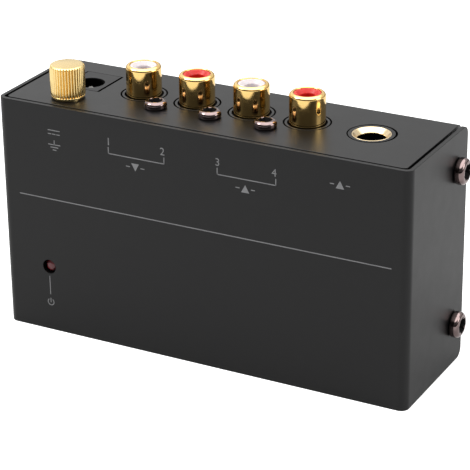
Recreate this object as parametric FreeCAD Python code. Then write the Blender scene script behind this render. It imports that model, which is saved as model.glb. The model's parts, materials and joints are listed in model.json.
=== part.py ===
import FreeCAD, Part
import math
import os

# Phono preamp: a small sheet-steel case standing on its narrow side, as it is photographed.
# X runs along the case, Y from the printed face in front to the base sheet, and Z up to the connector panel.
# The origin is the middle of the narrow side that it stands on. All sizes are in millimetres.

# Case
CASE_WIDTH = 104.0
CASE_DEPTH = 31.6
CASE_HEIGHT = 57.2
SHEET = 1.0
COVER_BEND = 2.0
CHASSIS_BEND = 1.6
FLAP_CORNER = 2.2
PANEL_CORNER = 1.0
END_GAP = 0.4
FRONT_GAP = 0.3

# End screws, which hold the cover's flaps to the chassis ears
END_SCREW_DIAMETER = 2.9
END_SCREW_HEAD = 6.2
END_SCREW_HEAD_HEIGHT = 2.3
END_SCREW_LENGTH = 4.6
END_SCREW_FROM_BASE = 5.3
END_SCREW_FROM_BOTTOM = 10.35
END_SCREW_FROM_TOP = 9.15
EAR_LENGTH = 12.0
EAR_HEIGHT = 9.0
EAR_CORNER = 2.0
EAR_ROOT = 2.0

# Fits
SCREW_CLEARANCE = 0.25
THREAD_CLEARANCE = 0.05
SEAT_CLEARANCE = 0.05
FLUSH_STEP = 0.05
SCREW_TIP_ROOM = 0.5
PAST = 1.0  # how far a cut runs past the surface that it opens

# Pan heads and their cross recesses, as shares of the head's width and height
HEAD_SIDE = 0.55
HEAD_SHOULDER = 0.91
HEAD_TOP = 0.74
RECESS_ARM = 0.16
RECESS_REACH = 0.27
RECESS_FOOT = 0.55
RECESS_DEPTH = 0.6

# Circuit board and what carries it
BOARD_THICKNESS = 1.6
BOARD_END_GAP = 0.6
BOARD_BOTTOM = 4.0
BOARD_TOP_GAP = 1.5
STANDOFF_HEIGHT = 4.2
STANDOFF_FLATS = 5.5
STANDOFF_SPIGOT = 4.2
STANDOFF_XS = [-33.0, 37.0]
STANDOFF_ABOVE_EDGE = 4.5
STANDOFF_BELOW_JACK = 5.7
BOARD_SCREW_DIAMETER = 2.9
BOARD_SCREW_HEAD = 5.6
BOARD_SCREW_HEAD_HEIGHT = 2.0
BOARD_SCREW_LENGTH = 5.0
TAIL_BELOW_BOARD = 1.0
TAIL_CLEARANCE = 0.2

# Four-gang phono jack block
PHONO_NAMES = ["input_left", "input_right", "output_left", "output_right"]
PHONO_MIDDLE_X = -1.6
PHONO_PITCH = 14.0
PHONO_AXIS_HEIGHT = 7.75
PHONO_BLOCK_DEPTH = 9.5
PHONO_BLOCK_LIP = 2.7
PHONO_BLOCK_ROUND = 1.6
PHONO_PANEL_HOLE = 10.5
PHONO_BOSS = 10.0
PHONO_RECESS = 9.1
PHONO_RECESS_DEPTH = 0.6
PHONO_SHELL = 8.3
PHONO_SHELL_BORE = 6.2
PHONO_SHELL_HEIGHT = 7.1
PHONO_SHELL_ROUND = 0.85
PHONO_SHELL_NECK = 7.8
PHONO_SHELL_COLLAR = 9.2
PHONO_COLLAR_HEIGHT = 2.0
PHONO_SHELL_TUBE = 8.0
PHONO_TUBE_HEIGHT = 3.0
PHONO_LIP_HEIGHT = 1.0
INSULATOR_SINK = 0.35
INSULATOR_BORE = 3.6
INSULATOR_FUNNEL = 0.7
CONTACT_FOOT = 1.0
CONTACT_BORE = 3.2
CONTACT_WALL = 0.35
CONTACT_HEIGHT = 10.5
CONTACT_SPLIT = 0.5
CONTACT_SPLIT_DEPTH = 7.5
TAIL_THICKNESS = 0.4
TAIL_WIDTH = 1.2

# Screws that hold the phono block to the panel
BLOCK_SCREW_DIAMETER = 2.5
BLOCK_SCREW_HEAD = 5.3
BLOCK_SCREW_HEAD_HEIGHT = 2.1
BLOCK_SCREW_LENGTH = 7.0
BLOCK_SCREW_DROP = 6.9

# Output jack for a 6.35 mm plug
OUTPUT_GAP = 0.75
OUTPUT_AXIS_HEIGHT = 7.85
OUTPUT_PANEL_HOLE = 11.0
OUTPUT_NOSE = 10.5
OUTPUT_FERRULE = 8.9
OUTPUT_BORE = 6.4
OUTPUT_FERRULE_LENGTH = 4.5
OUTPUT_CHAMFER = 1.0
OUTPUT_BODY_WIDTH = 16.0
OUTPUT_BODY_DEPTH = 29.0
OUTPUT_BODY_LIP = 6.8
OUTPUT_BODY_ROUND = 2.7
OUTPUT_THROAT = 7.0
SPRING_THICKNESS = 0.35
SPRING_WIDTH = 2.4
SPRING_BACKING = 2.4
SPRING_REACH = 2.9
SPRING_RUN = 5.4
SPRING_STRAIGHT = 0.38
SPRING_TIP_RUN = 0.25
SPRING_TIP_RISE = 0.6
TIP_SPRING_DEPTH = 26.8
RING_SPRING_DEPTH = 22.0
SLEEVE_SPRING_DEPTH = 9.8

# Power inlet for a 5.5 x 2.1 mm plug
INLET_GAP = 3.55
INLET_AXIS_HEIGHT = 6.9
INLET_WIDTH = 9.0
INLET_HEIGHT = 11.4
INLET_FLANGE_LIFT = 0.4
INLET_FLANGE = 3.4
INLET_DEPTH = 14.4
INLET_BARREL = 8.6
INLET_BORE = 6.2
INLET_BORE_DEPTH = 9.5
INLET_PIN = 2.0
INLET_PIN_SINK = 1.2
INLET_CUT_OUT_GAP = 0.3
INLET_MOUTH_BEVEL = 0.3
BARREL_SPRING_DEPTH = 5.2
BARREL_SPRING_ROOT = 9.0
BARREL_SPRING_OFFSET = 4.6
BARREL_SPRING_REACH = 2.75

# Ground terminal
GROUND_SHIFT = 0.55
STUD_DIAMETER = 4.0
STUD_FLANGE = 6.6
STUD_FLANGE_HEIGHT = 0.4
STUD_BEVEL = 0.4
STUD_ABOVE = 6.9
STUD_BELOW = 6.0
NUT_DIAMETER = 8.1
NUT_HEIGHT = 7.2
NUT_BORE_CLEARANCE = 0.05
NUT_CROWN = 0.9
NUT_BEVEL = 0.4
NUT_RIM_INSET = 0.15
NUT_RIM_HEIGHT = 0.4
KNURL_RIBS = 36
KNURL_DEPTH = 0.28
KNURL_RIB_START = 0.3
GROUND_WASHER = 8.3
GROUND_WASHER_HEIGHT = 0.4
LOCK_WASHER = 7.2
LOCK_WASHER_HEIGHT = 0.6
LOCK_TEETH = 10
LOCK_TOOTH_DEPTH = 0.65
LOCK_TOOTH_START = 0.3
LUG_RING = 8.0
LUG_THICKNESS = 0.7
LUG_REACH = 5.7
LUG_DROP = 5.0
LUG_BARREL = 2.4
LUG_CRIMP = 3.6
LUG_INNER_BEND = 0.5
HEX_NUT_FLATS = 7.0
HEX_NUT_HEIGHT = 3.0
WIRE_DIAMETER = 1.3
WIRE_DROP = 5.0
WIRE_BEND = 8.0

# Power light
LIGHT_FROM_END = 12.05
LIGHT_Z = 16.5
LIGHT_HOLE = 3.5
LIGHT_DIAMETER = 3.0
LIGHT_LENGTH = 5.3
LIGHT_FLANGE = 3.9
LIGHT_FLANGE_HEIGHT = 1.0
LIGHT_SINK = 0.5
LIGHT_LEAD = 0.5
LIGHT_LEAD_PITCH = 2.54
LIGHT_SPACER = 4.6

# Parts on the board. A level is a share of the way from the board's lower edge up to the phono block.
SMALL_CAN_XS = [-16.0, -4.0, 8.0, 20.0]
SMALL_CAN_LEVELS = [0.14, 0.82]
SMALL_CAN_DIAMETER = 6.3
SMALL_CAN_HEIGHT = 11.0
LARGE_CAN_XS = [-26.5, -36.5]
LARGE_CAN_LEVELS = [0.715, 0.655]
LARGE_CAN_DIAMETER = 8.0
LARGE_CAN_HEIGHT = 14.0
CAN_BEVEL = 0.6
FILM_XS = [-16.0, -4.0, 8.0, 20.0]
FILM_LEVEL = 0.632
FILM_LENGTH = 7.2
FILM_WIDTH = 3.5
FILM_HEIGHT = 7.5
CHIP_XS = [-10.0, 14.0]
CHIP_LEVEL = 0.422
CHIP_LENGTH = 4.9
CHIP_WIDTH = 3.9
CHIP_HEIGHT = 1.5
CHIP_LEG_PITCH = 1.27
CHIP_LEG_WIDTH = 0.42
CHIP_LEG_REACH = 1.0
CHIP_LEG_THICKNESS = 0.25
CHIP_LEG_KNEE = 0.4
CHIP_LEGS = 4
CHIP_LIFT = 0.1
REGULATOR_X = -26.5
REGULATOR_LEVEL = 0.21
REGULATOR_LENGTH = 6.5
REGULATOR_WIDTH = 3.5
REGULATOR_HEIGHT = 1.7
REGULATOR_LEG_PITCH = 2.3
REGULATOR_LEG_REACH = 1.5
REGULATOR_LEG_WIDTH = 0.7
REGULATOR_TAB_WIDTH = 3.2
DIODE_X = -25.5
DIODE_LEVEL = 0.44
DIODE_LENGTH = 4.4
DIODE_WIDTH = 2.6
DIODE_HEIGHT = 2.2
DIODE_BEVEL = 0.33
RESISTOR_XS = [-20.0, -16.0, -3.0, 1.0, 5.0, 21.0, 25.0]
RESISTOR_LEVELS = [0.328, 0.422, 0.515]
RESISTOR_LENGTH = 2.0
RESISTOR_WIDTH = 1.25
RESISTOR_HEIGHT = 0.55

# Feet on the base sheet
FOOT_DIAMETER = 8.0
FOOT_HEIGHT = 1.6
FOOT_BEVEL = 0.5
FOOT_INSET_X = 8.0
FOOT_INSET_Z = 8.0

# What follows from the sizes above
FACE_Y = -CASE_DEPTH / 2
BASE_Y = CASE_DEPTH / 2
PANEL_Z = CASE_HEIGHT
PANEL_IN_Z = PANEL_Z - SHEET
FLAP_X = CASE_WIDTH / 2
CHASSIS_X = FLAP_X - SHEET - END_GAP
CHASSIS_FRONT_Y = FACE_Y + SHEET + FRONT_GAP
END_SCREW_Y = BASE_Y - END_SCREW_FROM_BASE
END_SCREW_ZS = [END_SCREW_FROM_BOTTOM, CASE_HEIGHT - END_SCREW_FROM_TOP]
BOARD_UNDER_Y = BASE_Y - SHEET - STANDOFF_HEIGHT
BOARD_Y = BOARD_UNDER_Y - BOARD_THICKNESS
TAIL_END_Y = BOARD_UNDER_Y + TAIL_BELOW_BOARD
BOARD_TOP_Z = PANEL_IN_Z - BOARD_TOP_GAP
BOARD_X = CHASSIS_X - SHEET - BOARD_END_GAP
BOARD_NOTCH_X = FLAP_X - END_SCREW_LENGTH - BOARD_END_GAP
PARTS_ROOM = PANEL_IN_Z - PHONO_BLOCK_DEPTH - BOARD_BOTTOM
STANDOFF_ZS = [BOARD_BOTTOM + STANDOFF_ABOVE_EDGE, PANEL_IN_Z - OUTPUT_BODY_DEPTH - STANDOFF_BELOW_JACK]
PHONO_Y = BOARD_Y - PHONO_AXIS_HEIGHT
PHONO_HALF = len(PHONO_NAMES) * PHONO_PITCH / 2
PHONO_XS = [PHONO_MIDDLE_X - PHONO_HALF + (i + 0.5) * PHONO_PITCH for i in range(len(PHONO_NAMES))]
BLOCK_SCREW_XS = [(a + b) / 2 for a, b in zip(PHONO_XS, PHONO_XS[1:])]
BLOCK_SCREW_Y = PHONO_Y - BLOCK_SCREW_DROP
OUTPUT_X = PHONO_MIDDLE_X + PHONO_HALF + OUTPUT_GAP + OUTPUT_BODY_WIDTH / 2
OUTPUT_Y = BOARD_Y - OUTPUT_AXIS_HEIGHT
INLET_X = PHONO_MIDDLE_X - PHONO_HALF - INLET_GAP - INLET_WIDTH / 2
INLET_Y = BOARD_Y - INLET_AXIS_HEIGHT
GROUND_X = INLET_X + GROUND_SHIFT
GROUND_Y = (FACE_Y + SHEET + BOARD_Y - INLET_HEIGHT) / 2
LIGHT_X = -FLAP_X + LIGHT_FROM_END
SPRING_OFFSET = OUTPUT_BODY_WIDTH / 2 - SPRING_BACKING

X_AXIS = FreeCAD.Vector(1, 0, 0)
Y_AXIS = FreeCAD.Vector(0, 1, 0)
Z_AXIS = FreeCAD.Vector(0, 0, 1)


def vec(x, y, z):
    return FreeCAD.Vector(x, y, z)


def box(x0, y0, z0, x1, y1, z1):
    return Part.makeBox(x1 - x0, y1 - y0, z1 - z0, vec(x0, y0, z0))


def cylinder(diameter, start, end):
    run = end - start
    return Part.makeCylinder(diameter / 2, run.Length, start, run)


def rounded_outline(corners):
    """A closed wire through corners, each (point, radius), rounded at every corner whose radius isn't 0."""
    count = len(corners)
    edges = []
    arcs = []
    for i, (point, radius) in enumerate(corners):
        before = (corners[i - 1][0] - point).normalize()
        after = (corners[(i + 1) % count][0] - point).normalize()
        if radius <= 0:
            arcs.append((point, None, point))
            continue
        half = before.getAngle(after) / 2
        reach = radius / math.tan(half)
        middle = (before + after).normalize() * (radius / math.sin(half) - radius)
        arcs.append((point + before * reach, point + middle, point + after * reach))
    for i, (start, middle, end) in enumerate(arcs):
        if middle is not None:
            edges.append(Part.Arc(start, middle, end).toShape())
        following = arcs[(i + 1) % count][0]
        if (following - end).Length > 1e-6:
            edges.append(Part.LineSegment(end, following).toShape())
    return Part.Wire(edges)


def prism(corners, run):
    return Part.Face(rounded_outline(corners)).extrude(run)


def turned(profile, x, y):
    """A solid turned about the vertical axis at x, y, from a profile of (radius, z, corner round) points."""
    corners = [(vec(x + r, y, z), rounding) for r, z, rounding in profile]
    face = Part.Face(rounded_outline(corners))
    return face.revolve(vec(x, y, 0), Z_AXIS, 360)


def laid(shape, axis, place):
    """A shape modelled about the origin's vertical axis, turned until that points along axis, then placed."""
    copy = shape.copy()
    copy.Placement = FreeCAD.Placement(place, FreeCAD.Rotation(Z_AXIS, axis))
    return copy


def at_angle(x, y, z, radius, turns):
    """The point at a radius about the vertical axis at x, y, after a number of turns."""
    angle = 2 * math.pi * turns
    return vec(x + radius * math.cos(angle), y + radius * math.sin(angle), z)


def hexagon(flats, z0, height, x, y):
    across = flats / math.sqrt(3)
    points = [at_angle(x, y, z0, across, k / 6) for k in range(6)]
    return prism([(p, 0) for p in points], Z_AXIS * height)


def edges_where(shape, test):
    return [e for e in shape.Edges if test(e)]


def straight_along(edge, axis):
    ends = edge.Vertexes
    if len(ends) != 2 or not isinstance(edge.Curve, (Part.Line, Part.LineSegment)):
        return False
    run = ends[1].Point - ends[0].Point
    return run.cross(axis).Length < 1e-6 * run.Length


def pan_screw(diameter, length, head, head_height):
    """A pan-head screw with a cross recess, head upward, its bearing face at the origin's height."""
    profile = [
        (0, -length, 0),
        (diameter / 2, -length, 0),
        (diameter / 2, 0, 0),
        (head / 2, 0, 0),
        (head / 2, head_height * HEAD_SIDE, 0),
        (head / 2 * HEAD_SHOULDER, head_height * HEAD_SHOULDER, 0),
        (head / 2 * HEAD_TOP, head_height, 0),
        (0, head_height, 0),
    ]
    screw = turned(profile, 0, 0)
    arm = head * RECESS_ARM
    reach = head * RECESS_REACH
    foot = reach * RECESS_FOOT
    foot_z = head_height * (1 - RECESS_DEPTH)
    for turn in (0, 90):
        corners = [
            (vec(-reach, 0, head_height), 0),
            (vec(-foot, 0, foot_z), 0),
            (vec(foot, 0, foot_z), 0),
            (vec(reach, 0, head_height), 0),
        ]
        slot = prism(corners, Y_AXIS * arm)
        slot.translate(vec(0, -arm / 2, 0))
        slot.rotate(vec(0, 0, 0), Z_AXIS, turn)
        screw = screw.cut(slot)
    return screw


def save(name, solids):
    shapes = solids if isinstance(solids, list) else [solids]
    whole = shapes[0] if len(shapes) == 1 else Part.makeCompound(shapes)
    whole.exportStep(f"parts/{name}.step")


def cover():
    """The printed face and its two end flaps, one folded sheet."""
    inner_x = FLAP_X - SHEET
    inner_y = FACE_Y + SHEET
    inner_bend = COVER_BEND - SHEET
    outline = [
        (vec(-FLAP_X, BASE_Y, 0), 0),
        (vec(-FLAP_X, FACE_Y, 0), COVER_BEND),
        (vec(FLAP_X, FACE_Y, 0), COVER_BEND),
        (vec(FLAP_X, BASE_Y, 0), 0),
        (vec(inner_x, BASE_Y, 0), 0),
        (vec(inner_x, inner_y, 0), inner_bend),
        (vec(-inner_x, inner_y, 0), inner_bend),
        (vec(-inner_x, BASE_Y, 0), 0),
    ]
    sheet = prism(outline, Z_AXIS * CASE_HEIGHT)
    corners = edges_where(
        sheet,
        lambda e: straight_along(e, X_AXIS) and abs(e.CenterOfMass.y - BASE_Y) < 1e-6,
    )
    sheet = sheet.makeFillet(FLAP_CORNER, corners)
    for z in END_SCREW_ZS:
        hole = END_SCREW_DIAMETER + 2 * SCREW_CLEARANCE
        reach = FLAP_X + PAST
        sheet = sheet.cut(cylinder(hole, vec(-reach, END_SCREW_Y, z), vec(reach, END_SCREW_Y, z)))
    light = cylinder(LIGHT_HOLE, vec(LIGHT_X, FACE_Y - PAST, LIGHT_Z), vec(LIGHT_X, inner_y + PAST, LIGHT_Z))
    return sheet.cut(light)


def ear(side, z):
    """One bent ear of the chassis, which an end screw threads into; side is -1 or 1."""
    outer = side * CHASSIS_X
    inner = side * (CHASSIS_X - SHEET)
    tip = BASE_Y - EAR_HEIGHT
    root_x = side * (CHASSIS_X - CHASSIS_BEND - EAR_ROOT)
    outline = [
        (vec(root_x, BASE_Y, z), 0),
        (vec(outer, BASE_Y, z), CHASSIS_BEND),
        (vec(outer, tip, z), 0),
        (vec(inner, tip, z), 0),
        (vec(inner, BASE_Y - SHEET, z), CHASSIS_BEND - SHEET),
        (vec(root_x, BASE_Y - SHEET, z), 0),
    ]
    strip = prism(outline, Z_AXIS * EAR_LENGTH)
    strip.translate(vec(0, 0, -EAR_LENGTH / 2))
    tips = edges_where(
        strip,
        lambda e: straight_along(e, X_AXIS) and abs(e.CenterOfMass.y - tip) < 1e-6,
    )
    strip = strip.makeFillet(EAR_CORNER, tips)
    thread = END_SCREW_DIAMETER + 2 * THREAD_CLEARANCE
    past = side * PAST
    return strip.cut(cylinder(thread, vec(inner - past, END_SCREW_Y, z), vec(outer + past, END_SCREW_Y, z)))


def chassis():
    """Connector panel, base sheet and the narrow side it stands on, one folded sheet with four bent ears."""
    inner_bend = CHASSIS_BEND - SHEET
    outline = [
        (vec(-CHASSIS_X, CHASSIS_FRONT_Y, CASE_HEIGHT), 0),
        (vec(-CHASSIS_X, BASE_Y, CASE_HEIGHT), CHASSIS_BEND),
        (vec(-CHASSIS_X, BASE_Y, 0), CHASSIS_BEND),
        (vec(-CHASSIS_X, CHASSIS_FRONT_Y, 0), 0),
        (vec(-CHASSIS_X, CHASSIS_FRONT_Y, SHEET), 0),
        (vec(-CHASSIS_X, BASE_Y - SHEET, SHEET), inner_bend),
        (vec(-CHASSIS_X, BASE_Y - SHEET, PANEL_IN_Z), inner_bend),
        (vec(-CHASSIS_X, CHASSIS_FRONT_Y, PANEL_IN_Z), 0),
    ]
    sheet = prism(outline, X_AXIS * 2 * CHASSIS_X)
    corners = edges_where(
        sheet,
        lambda e: straight_along(e, Z_AXIS) and abs(e.CenterOfMass.y - CHASSIS_FRONT_Y) < 1e-6,
    )
    sheet = sheet.makeFillet(PANEL_CORNER, corners)
    for side in (-1, 1):
        for z in END_SCREW_ZS:
            notch_x = side * (CHASSIS_X - CHASSIS_BEND - SHEET)
            low, high = sorted((notch_x, side * (CHASSIS_X + PAST)))
            half = EAR_LENGTH / 2
            notch = box(low, BASE_Y - SHEET - PAST, z - half, high, BASE_Y + PAST, z + half)
            sheet = sheet.cut(notch)
            sheet = sheet.fuse(ear(side, z))
    sheet = sheet.removeSplitter()
    for tool in panel_cut_outs() + base_holes():
        sheet = sheet.cut(tool)
    return sheet


def panel_cut_outs():
    low, high = PANEL_IN_Z - PAST, PANEL_Z + PAST
    round_holes = [(PHONO_PANEL_HOLE, x, PHONO_Y) for x in PHONO_XS]
    screw_hole = BLOCK_SCREW_DIAMETER + 2 * SCREW_CLEARANCE
    round_holes += [(screw_hole, x, BLOCK_SCREW_Y) for x in BLOCK_SCREW_XS]
    round_holes.append((OUTPUT_PANEL_HOLE, OUTPUT_X, OUTPUT_Y))
    round_holes.append((STUD_DIAMETER + 2 * SCREW_CLEARANCE, GROUND_X, GROUND_Y))
    tools = [cylinder(diameter, vec(x, y, low), vec(x, y, high)) for diameter, x, y in round_holes]
    half = INLET_WIDTH / 2 + INLET_CUT_OUT_GAP
    front = BOARD_Y - INLET_HEIGHT - INLET_CUT_OUT_GAP
    back = BOARD_Y - INLET_FLANGE_LIFT + INLET_CUT_OUT_GAP
    tools.append(box(INLET_X - half, front, low, INLET_X + half, back, high))
    return tools


def standoff_places():
    return [(x, z) for x in STANDOFF_XS for z in STANDOFF_ZS]


def base_holes():
    hole = STANDOFF_SPIGOT + 2 * SEAT_CLEARANCE
    low, high = BASE_Y - SHEET - PAST, BASE_Y + PAST
    return [cylinder(hole, vec(x, low, z), vec(x, high, z)) for x, z in standoff_places()]


def end_screws():
    screw = pan_screw(END_SCREW_DIAMETER, END_SCREW_LENGTH, END_SCREW_HEAD, END_SCREW_HEAD_HEIGHT)
    places = [(side, z) for side in (-1, 1) for z in END_SCREW_ZS]
    return [laid(screw, X_AXIS * side, vec(side * FLAP_X, END_SCREW_Y, z)) for side, z in places]


def phono_tail(x, start_y, z, grow):
    """The box that a flat tail fills from start_y to below the board, upward from z, grown for its slot."""
    half = TAIL_WIDTH / 2 + grow
    return box(x - half, start_y, z - grow, x + half, TAIL_END_Y + 2 * grow, z + TAIL_THICKNESS + grow)


def phono_heights():
    """Heights of one phono jack's stack, from the panel inward."""
    lip_top = PANEL_Z - PHONO_RECESS_DEPTH
    lip_under = lip_top - PHONO_LIP_HEIGHT
    collar_under = lip_under - PHONO_COLLAR_HEIGHT
    lug_under = collar_under - TAIL_THICKNESS
    tube_under = collar_under - PHONO_TUBE_HEIGHT
    back = PANEL_IN_Z - PHONO_BLOCK_DEPTH
    return {
        "lip_top": lip_top,
        "lip_under": lip_under,
        "collar_under": collar_under,
        "lug_under": lug_under,
        "tube_under": tube_under,
        "back": back,
    }


def phono_shell(x):
    at = phono_heights()
    top = PANEL_Z + PHONO_SHELL_HEIGHT
    inner = PHONO_SHELL_BORE / 2
    profile = [
        (inner, at["tube_under"], 0),
        (PHONO_SHELL_TUBE / 2, at["tube_under"], 0),
        (PHONO_SHELL_TUBE / 2, at["collar_under"], 0),
        (PHONO_SHELL_COLLAR / 2, at["collar_under"], 0),
        (PHONO_SHELL_COLLAR / 2, at["lip_under"], 0),
        (PHONO_SHELL_NECK / 2, at["lip_under"], 0),
        (PHONO_SHELL_NECK / 2, PANEL_Z, 0),
        (PHONO_SHELL / 2, PANEL_Z, 0),
        (PHONO_SHELL / 2, top, PHONO_SHELL_ROUND),
        (inner, top, 0),
    ]
    return turned(profile, x, PHONO_Y)


def phono_insulator(x):
    at = phono_heights()
    top = PANEL_Z + PHONO_SHELL_HEIGHT - INSULATOR_SINK
    stem = PHONO_SHELL_BORE / 2 - SEAT_CLEARANCE
    flange = PHONO_SHELL_COLLAR / 2
    contact = CONTACT_BORE / 2 + CONTACT_WALL + SEAT_CLEARANCE
    contact_top = contact_base() + CONTACT_HEIGHT + SEAT_CLEARANCE
    profile = [
        (contact, at["back"], 0),
        (flange, at["back"], 0),
        (flange, at["tube_under"], 0),
        (stem, at["tube_under"], 0),
        (stem, top, 0),
        (INSULATOR_BORE / 2 + INSULATOR_FUNNEL, top, 0),
        (INSULATOR_BORE / 2, top - INSULATOR_FUNNEL, 0),
        (INSULATOR_BORE / 2, contact_top, 0),
        (contact, contact_top, 0),
    ]
    body = turned(profile, x, PHONO_Y)
    slot = phono_tail(x, PHONO_Y, contact_base() - TAIL_THICKNESS, SEAT_CLEARANCE)
    half = TAIL_WIDTH / 2 + SEAT_CLEARANCE
    below = box(x - half, PHONO_Y, at["back"] - PAST, x + half, PHONO_Y + PHONO_SHELL_COLLAR, contact_base())
    return body.cut(slot).cut(below)


def contact_base():
    return phono_heights()["back"] + TAIL_THICKNESS + CONTACT_FOOT


def phono_contact(x):
    """Split tube that grips a plug's centre pin, with a flat tail to the board."""
    base = contact_base()
    outer = CONTACT_BORE / 2 + CONTACT_WALL
    tube = turned(
        [
            (CONTACT_BORE / 2, base, 0),
            (outer, base, 0),
            (outer, base + CONTACT_HEIGHT, 0),
            (CONTACT_BORE / 2, base + CONTACT_HEIGHT, 0),
        ],
        x,
        PHONO_Y,
    )
    split_z = base + CONTACT_HEIGHT - CONTACT_SPLIT_DEPTH
    half = CONTACT_SPLIT / 2
    split = box(x - half, PHONO_Y - outer, split_z, x + half, PHONO_Y + outer, base + CONTACT_HEIGHT + PAST)
    tube = tube.cut(split)
    disc = cylinder(2 * outer, vec(x, PHONO_Y, base - TAIL_THICKNESS), vec(x, PHONO_Y, base))
    tail = phono_tail(x, PHONO_Y, base - TAIL_THICKNESS, 0)
    return tube.fuse(disc).fuse(tail).removeSplitter()


def phono_lug(x):
    """Ring under the shell's collar, with a flat tail to the board."""
    at = phono_heights()
    low = vec(x, PHONO_Y, at["lug_under"])
    high = vec(x, PHONO_Y, at["collar_under"])
    ring = cylinder(PHONO_SHELL_COLLAR, low, high)
    tail = phono_tail(x, PHONO_Y + PHONO_SHELL_TUBE / 2 + SEAT_CLEARANCE, at["lug_under"], 0)
    bore = cylinder(PHONO_SHELL_TUBE + 2 * SEAT_CLEARANCE, low, high)
    return ring.fuse(tail).cut(bore).removeSplitter()


def phono_block():
    """Moulded block behind the panel, with a round boss in each panel hole."""
    at = phono_heights()
    left = PHONO_MIDDLE_X - PHONO_HALF
    right = PHONO_MIDDLE_X + PHONO_HALF
    front = BLOCK_SCREW_Y - PHONO_BLOCK_LIP
    body = box(left, front, at["back"], right, BOARD_Y, PANEL_IN_Z)
    uprights = edges_where(
        body,
        lambda e: straight_along(e, Z_AXIS) and abs(e.CenterOfMass.y - front) < 1e-6,
    )
    body = body.makeFillet(PHONO_BLOCK_ROUND, uprights)
    seat = PHONO_SHELL_COLLAR + 2 * SEAT_CLEARANCE
    neck = PHONO_SHELL_NECK + 2 * SEAT_CLEARANCE
    for x in PHONO_XS:
        boss = cylinder(PHONO_BOSS, vec(x, PHONO_Y, PANEL_IN_Z), vec(x, PHONO_Y, PANEL_Z - FLUSH_STEP))
        body = body.fuse(boss)
        for diameter, low, high in (
            (PHONO_RECESS, at["lip_top"], PANEL_Z + PAST),
            (neck, at["lip_under"] - PAST, PANEL_Z),
            (seat, at["back"] - PAST, at["lip_under"]),
        ):
            body = body.cut(cylinder(diameter, vec(x, PHONO_Y, low), vec(x, PHONO_Y, high)))
        body = body.cut(phono_tail(x, PHONO_Y + PHONO_SHELL_TUBE / 2, at["lug_under"], SEAT_CLEARANCE))
        half = TAIL_WIDTH / 2 + SEAT_CLEARANCE
        tail_top = contact_base() + SEAT_CLEARANCE
        body = body.cut(box(x - half, PHONO_Y, at["back"] - PAST, x + half, BOARD_Y + PAST, tail_top))
    pilot = BLOCK_SCREW_DIAMETER + 2 * THREAD_CLEARANCE
    blind = PANEL_Z - BLOCK_SCREW_LENGTH - SCREW_TIP_ROOM
    for x in BLOCK_SCREW_XS:
        body = body.cut(cylinder(pilot, vec(x, BLOCK_SCREW_Y, blind), vec(x, BLOCK_SCREW_Y, PANEL_Z)))
    return body


def block_screws():
    screw = pan_screw(BLOCK_SCREW_DIAMETER, BLOCK_SCREW_LENGTH, BLOCK_SCREW_HEAD, BLOCK_SCREW_HEAD_HEIGHT)
    return [laid(screw, Z_AXIS, vec(x, BLOCK_SCREW_Y, PANEL_Z)) for x in BLOCK_SCREW_XS]


def bent_strip(points, normal, width):
    """A bent spring strip that follows points in the plane across normal, and is width wide along normal."""
    half = SPRING_THICKNESS / 2
    near, far = [], []
    for i, point in enumerate(points):
        before = (point - points[i - 1]).normalize() if i > 0 else None
        after = (points[i + 1] - point).normalize() if i < len(points) - 1 else None
        along = (before or after) + (after or before)
        across = normal.cross(along).normalize()
        share = across.dot(normal.cross(after or before))
        near.append(point + across * (half / share))
        far.append(point - across * (half / share))
    outline = [(p, 0) for p in near + far[::-1]]
    strip = prism(outline, normal * width)
    strip.translate(normal * (-width / 2))
    return strip


def output_springs():
    """Each spring's side, its nose's depth, and its direction: 1 is rooted at the back and -1 in front."""
    return {
        "tip": (1, TIP_SPRING_DEPTH, -1),
        "ring": (-1, RING_SPRING_DEPTH, 1),
        "sleeve": (1, SLEEVE_SPRING_DEPTH, 1),
    }


def spring_root_z(depth, direction):
    return PANEL_Z - depth - direction * SPRING_RUN


def output_spring(side, depth, direction):
    """One leaf of the output jack: a V nose that the plug pushes aside, and a flat tail to the board."""
    nose_z = PANEL_Z - depth
    root_z = spring_root_z(depth, direction)
    rise = SPRING_OFFSET - SPRING_REACH
    steps = [
        (SPRING_OFFSET, root_z),
        (SPRING_OFFSET, root_z + direction * SPRING_RUN * SPRING_STRAIGHT),
        (SPRING_REACH, nose_z),
        (SPRING_REACH + rise * SPRING_TIP_RISE, nose_z + direction * SPRING_RUN * SPRING_TIP_RUN),
    ]
    points = [vec(OUTPUT_X + side * x, OUTPUT_Y, z) for x, z in steps]
    leaf = bent_strip(points, Y_AXIS, SPRING_WIDTH)
    low, high = sorted((root_z, root_z + direction * TAIL_WIDTH))
    middle = OUTPUT_X + side * SPRING_OFFSET
    half = SPRING_THICKNESS / 2
    tail = box(middle - half, OUTPUT_Y, low, middle + half, TAIL_END_Y, high)
    return leaf.fuse(tail).removeSplitter()


def output_spring_room(side, depth, direction):
    """The channel and tail slot that one leaf needs in the jack's body."""
    root_z = spring_root_z(depth, direction)
    tip_z = PANEL_Z - depth + direction * SPRING_RUN * SPRING_TIP_RUN
    low, high = sorted((root_z, tip_z))
    reach = SPRING_OFFSET + SPRING_THICKNESS / 2 + SEAT_CLEARANCE
    inner, outer = sorted((OUTPUT_X, OUTPUT_X + side * reach))
    half_y = SPRING_WIDTH / 2 + SEAT_CLEARANCE
    spare = 2 * SPRING_THICKNESS
    channel = box(inner, OUTPUT_Y - half_y, low - spare, outer, OUTPUT_Y + half_y, high + spare)
    tail_low, tail_high = sorted((root_z, root_z + direction * TAIL_WIDTH))
    middle = OUTPUT_X + side * SPRING_OFFSET
    half = SPRING_THICKNESS / 2 + SEAT_CLEARANCE
    tail_low -= SEAT_CLEARANCE
    tail_high += SEAT_CLEARANCE
    slot = box(middle - half, OUTPUT_Y, tail_low, middle + half, BOARD_Y + PAST, tail_high)
    return channel.fuse(slot)


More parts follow.
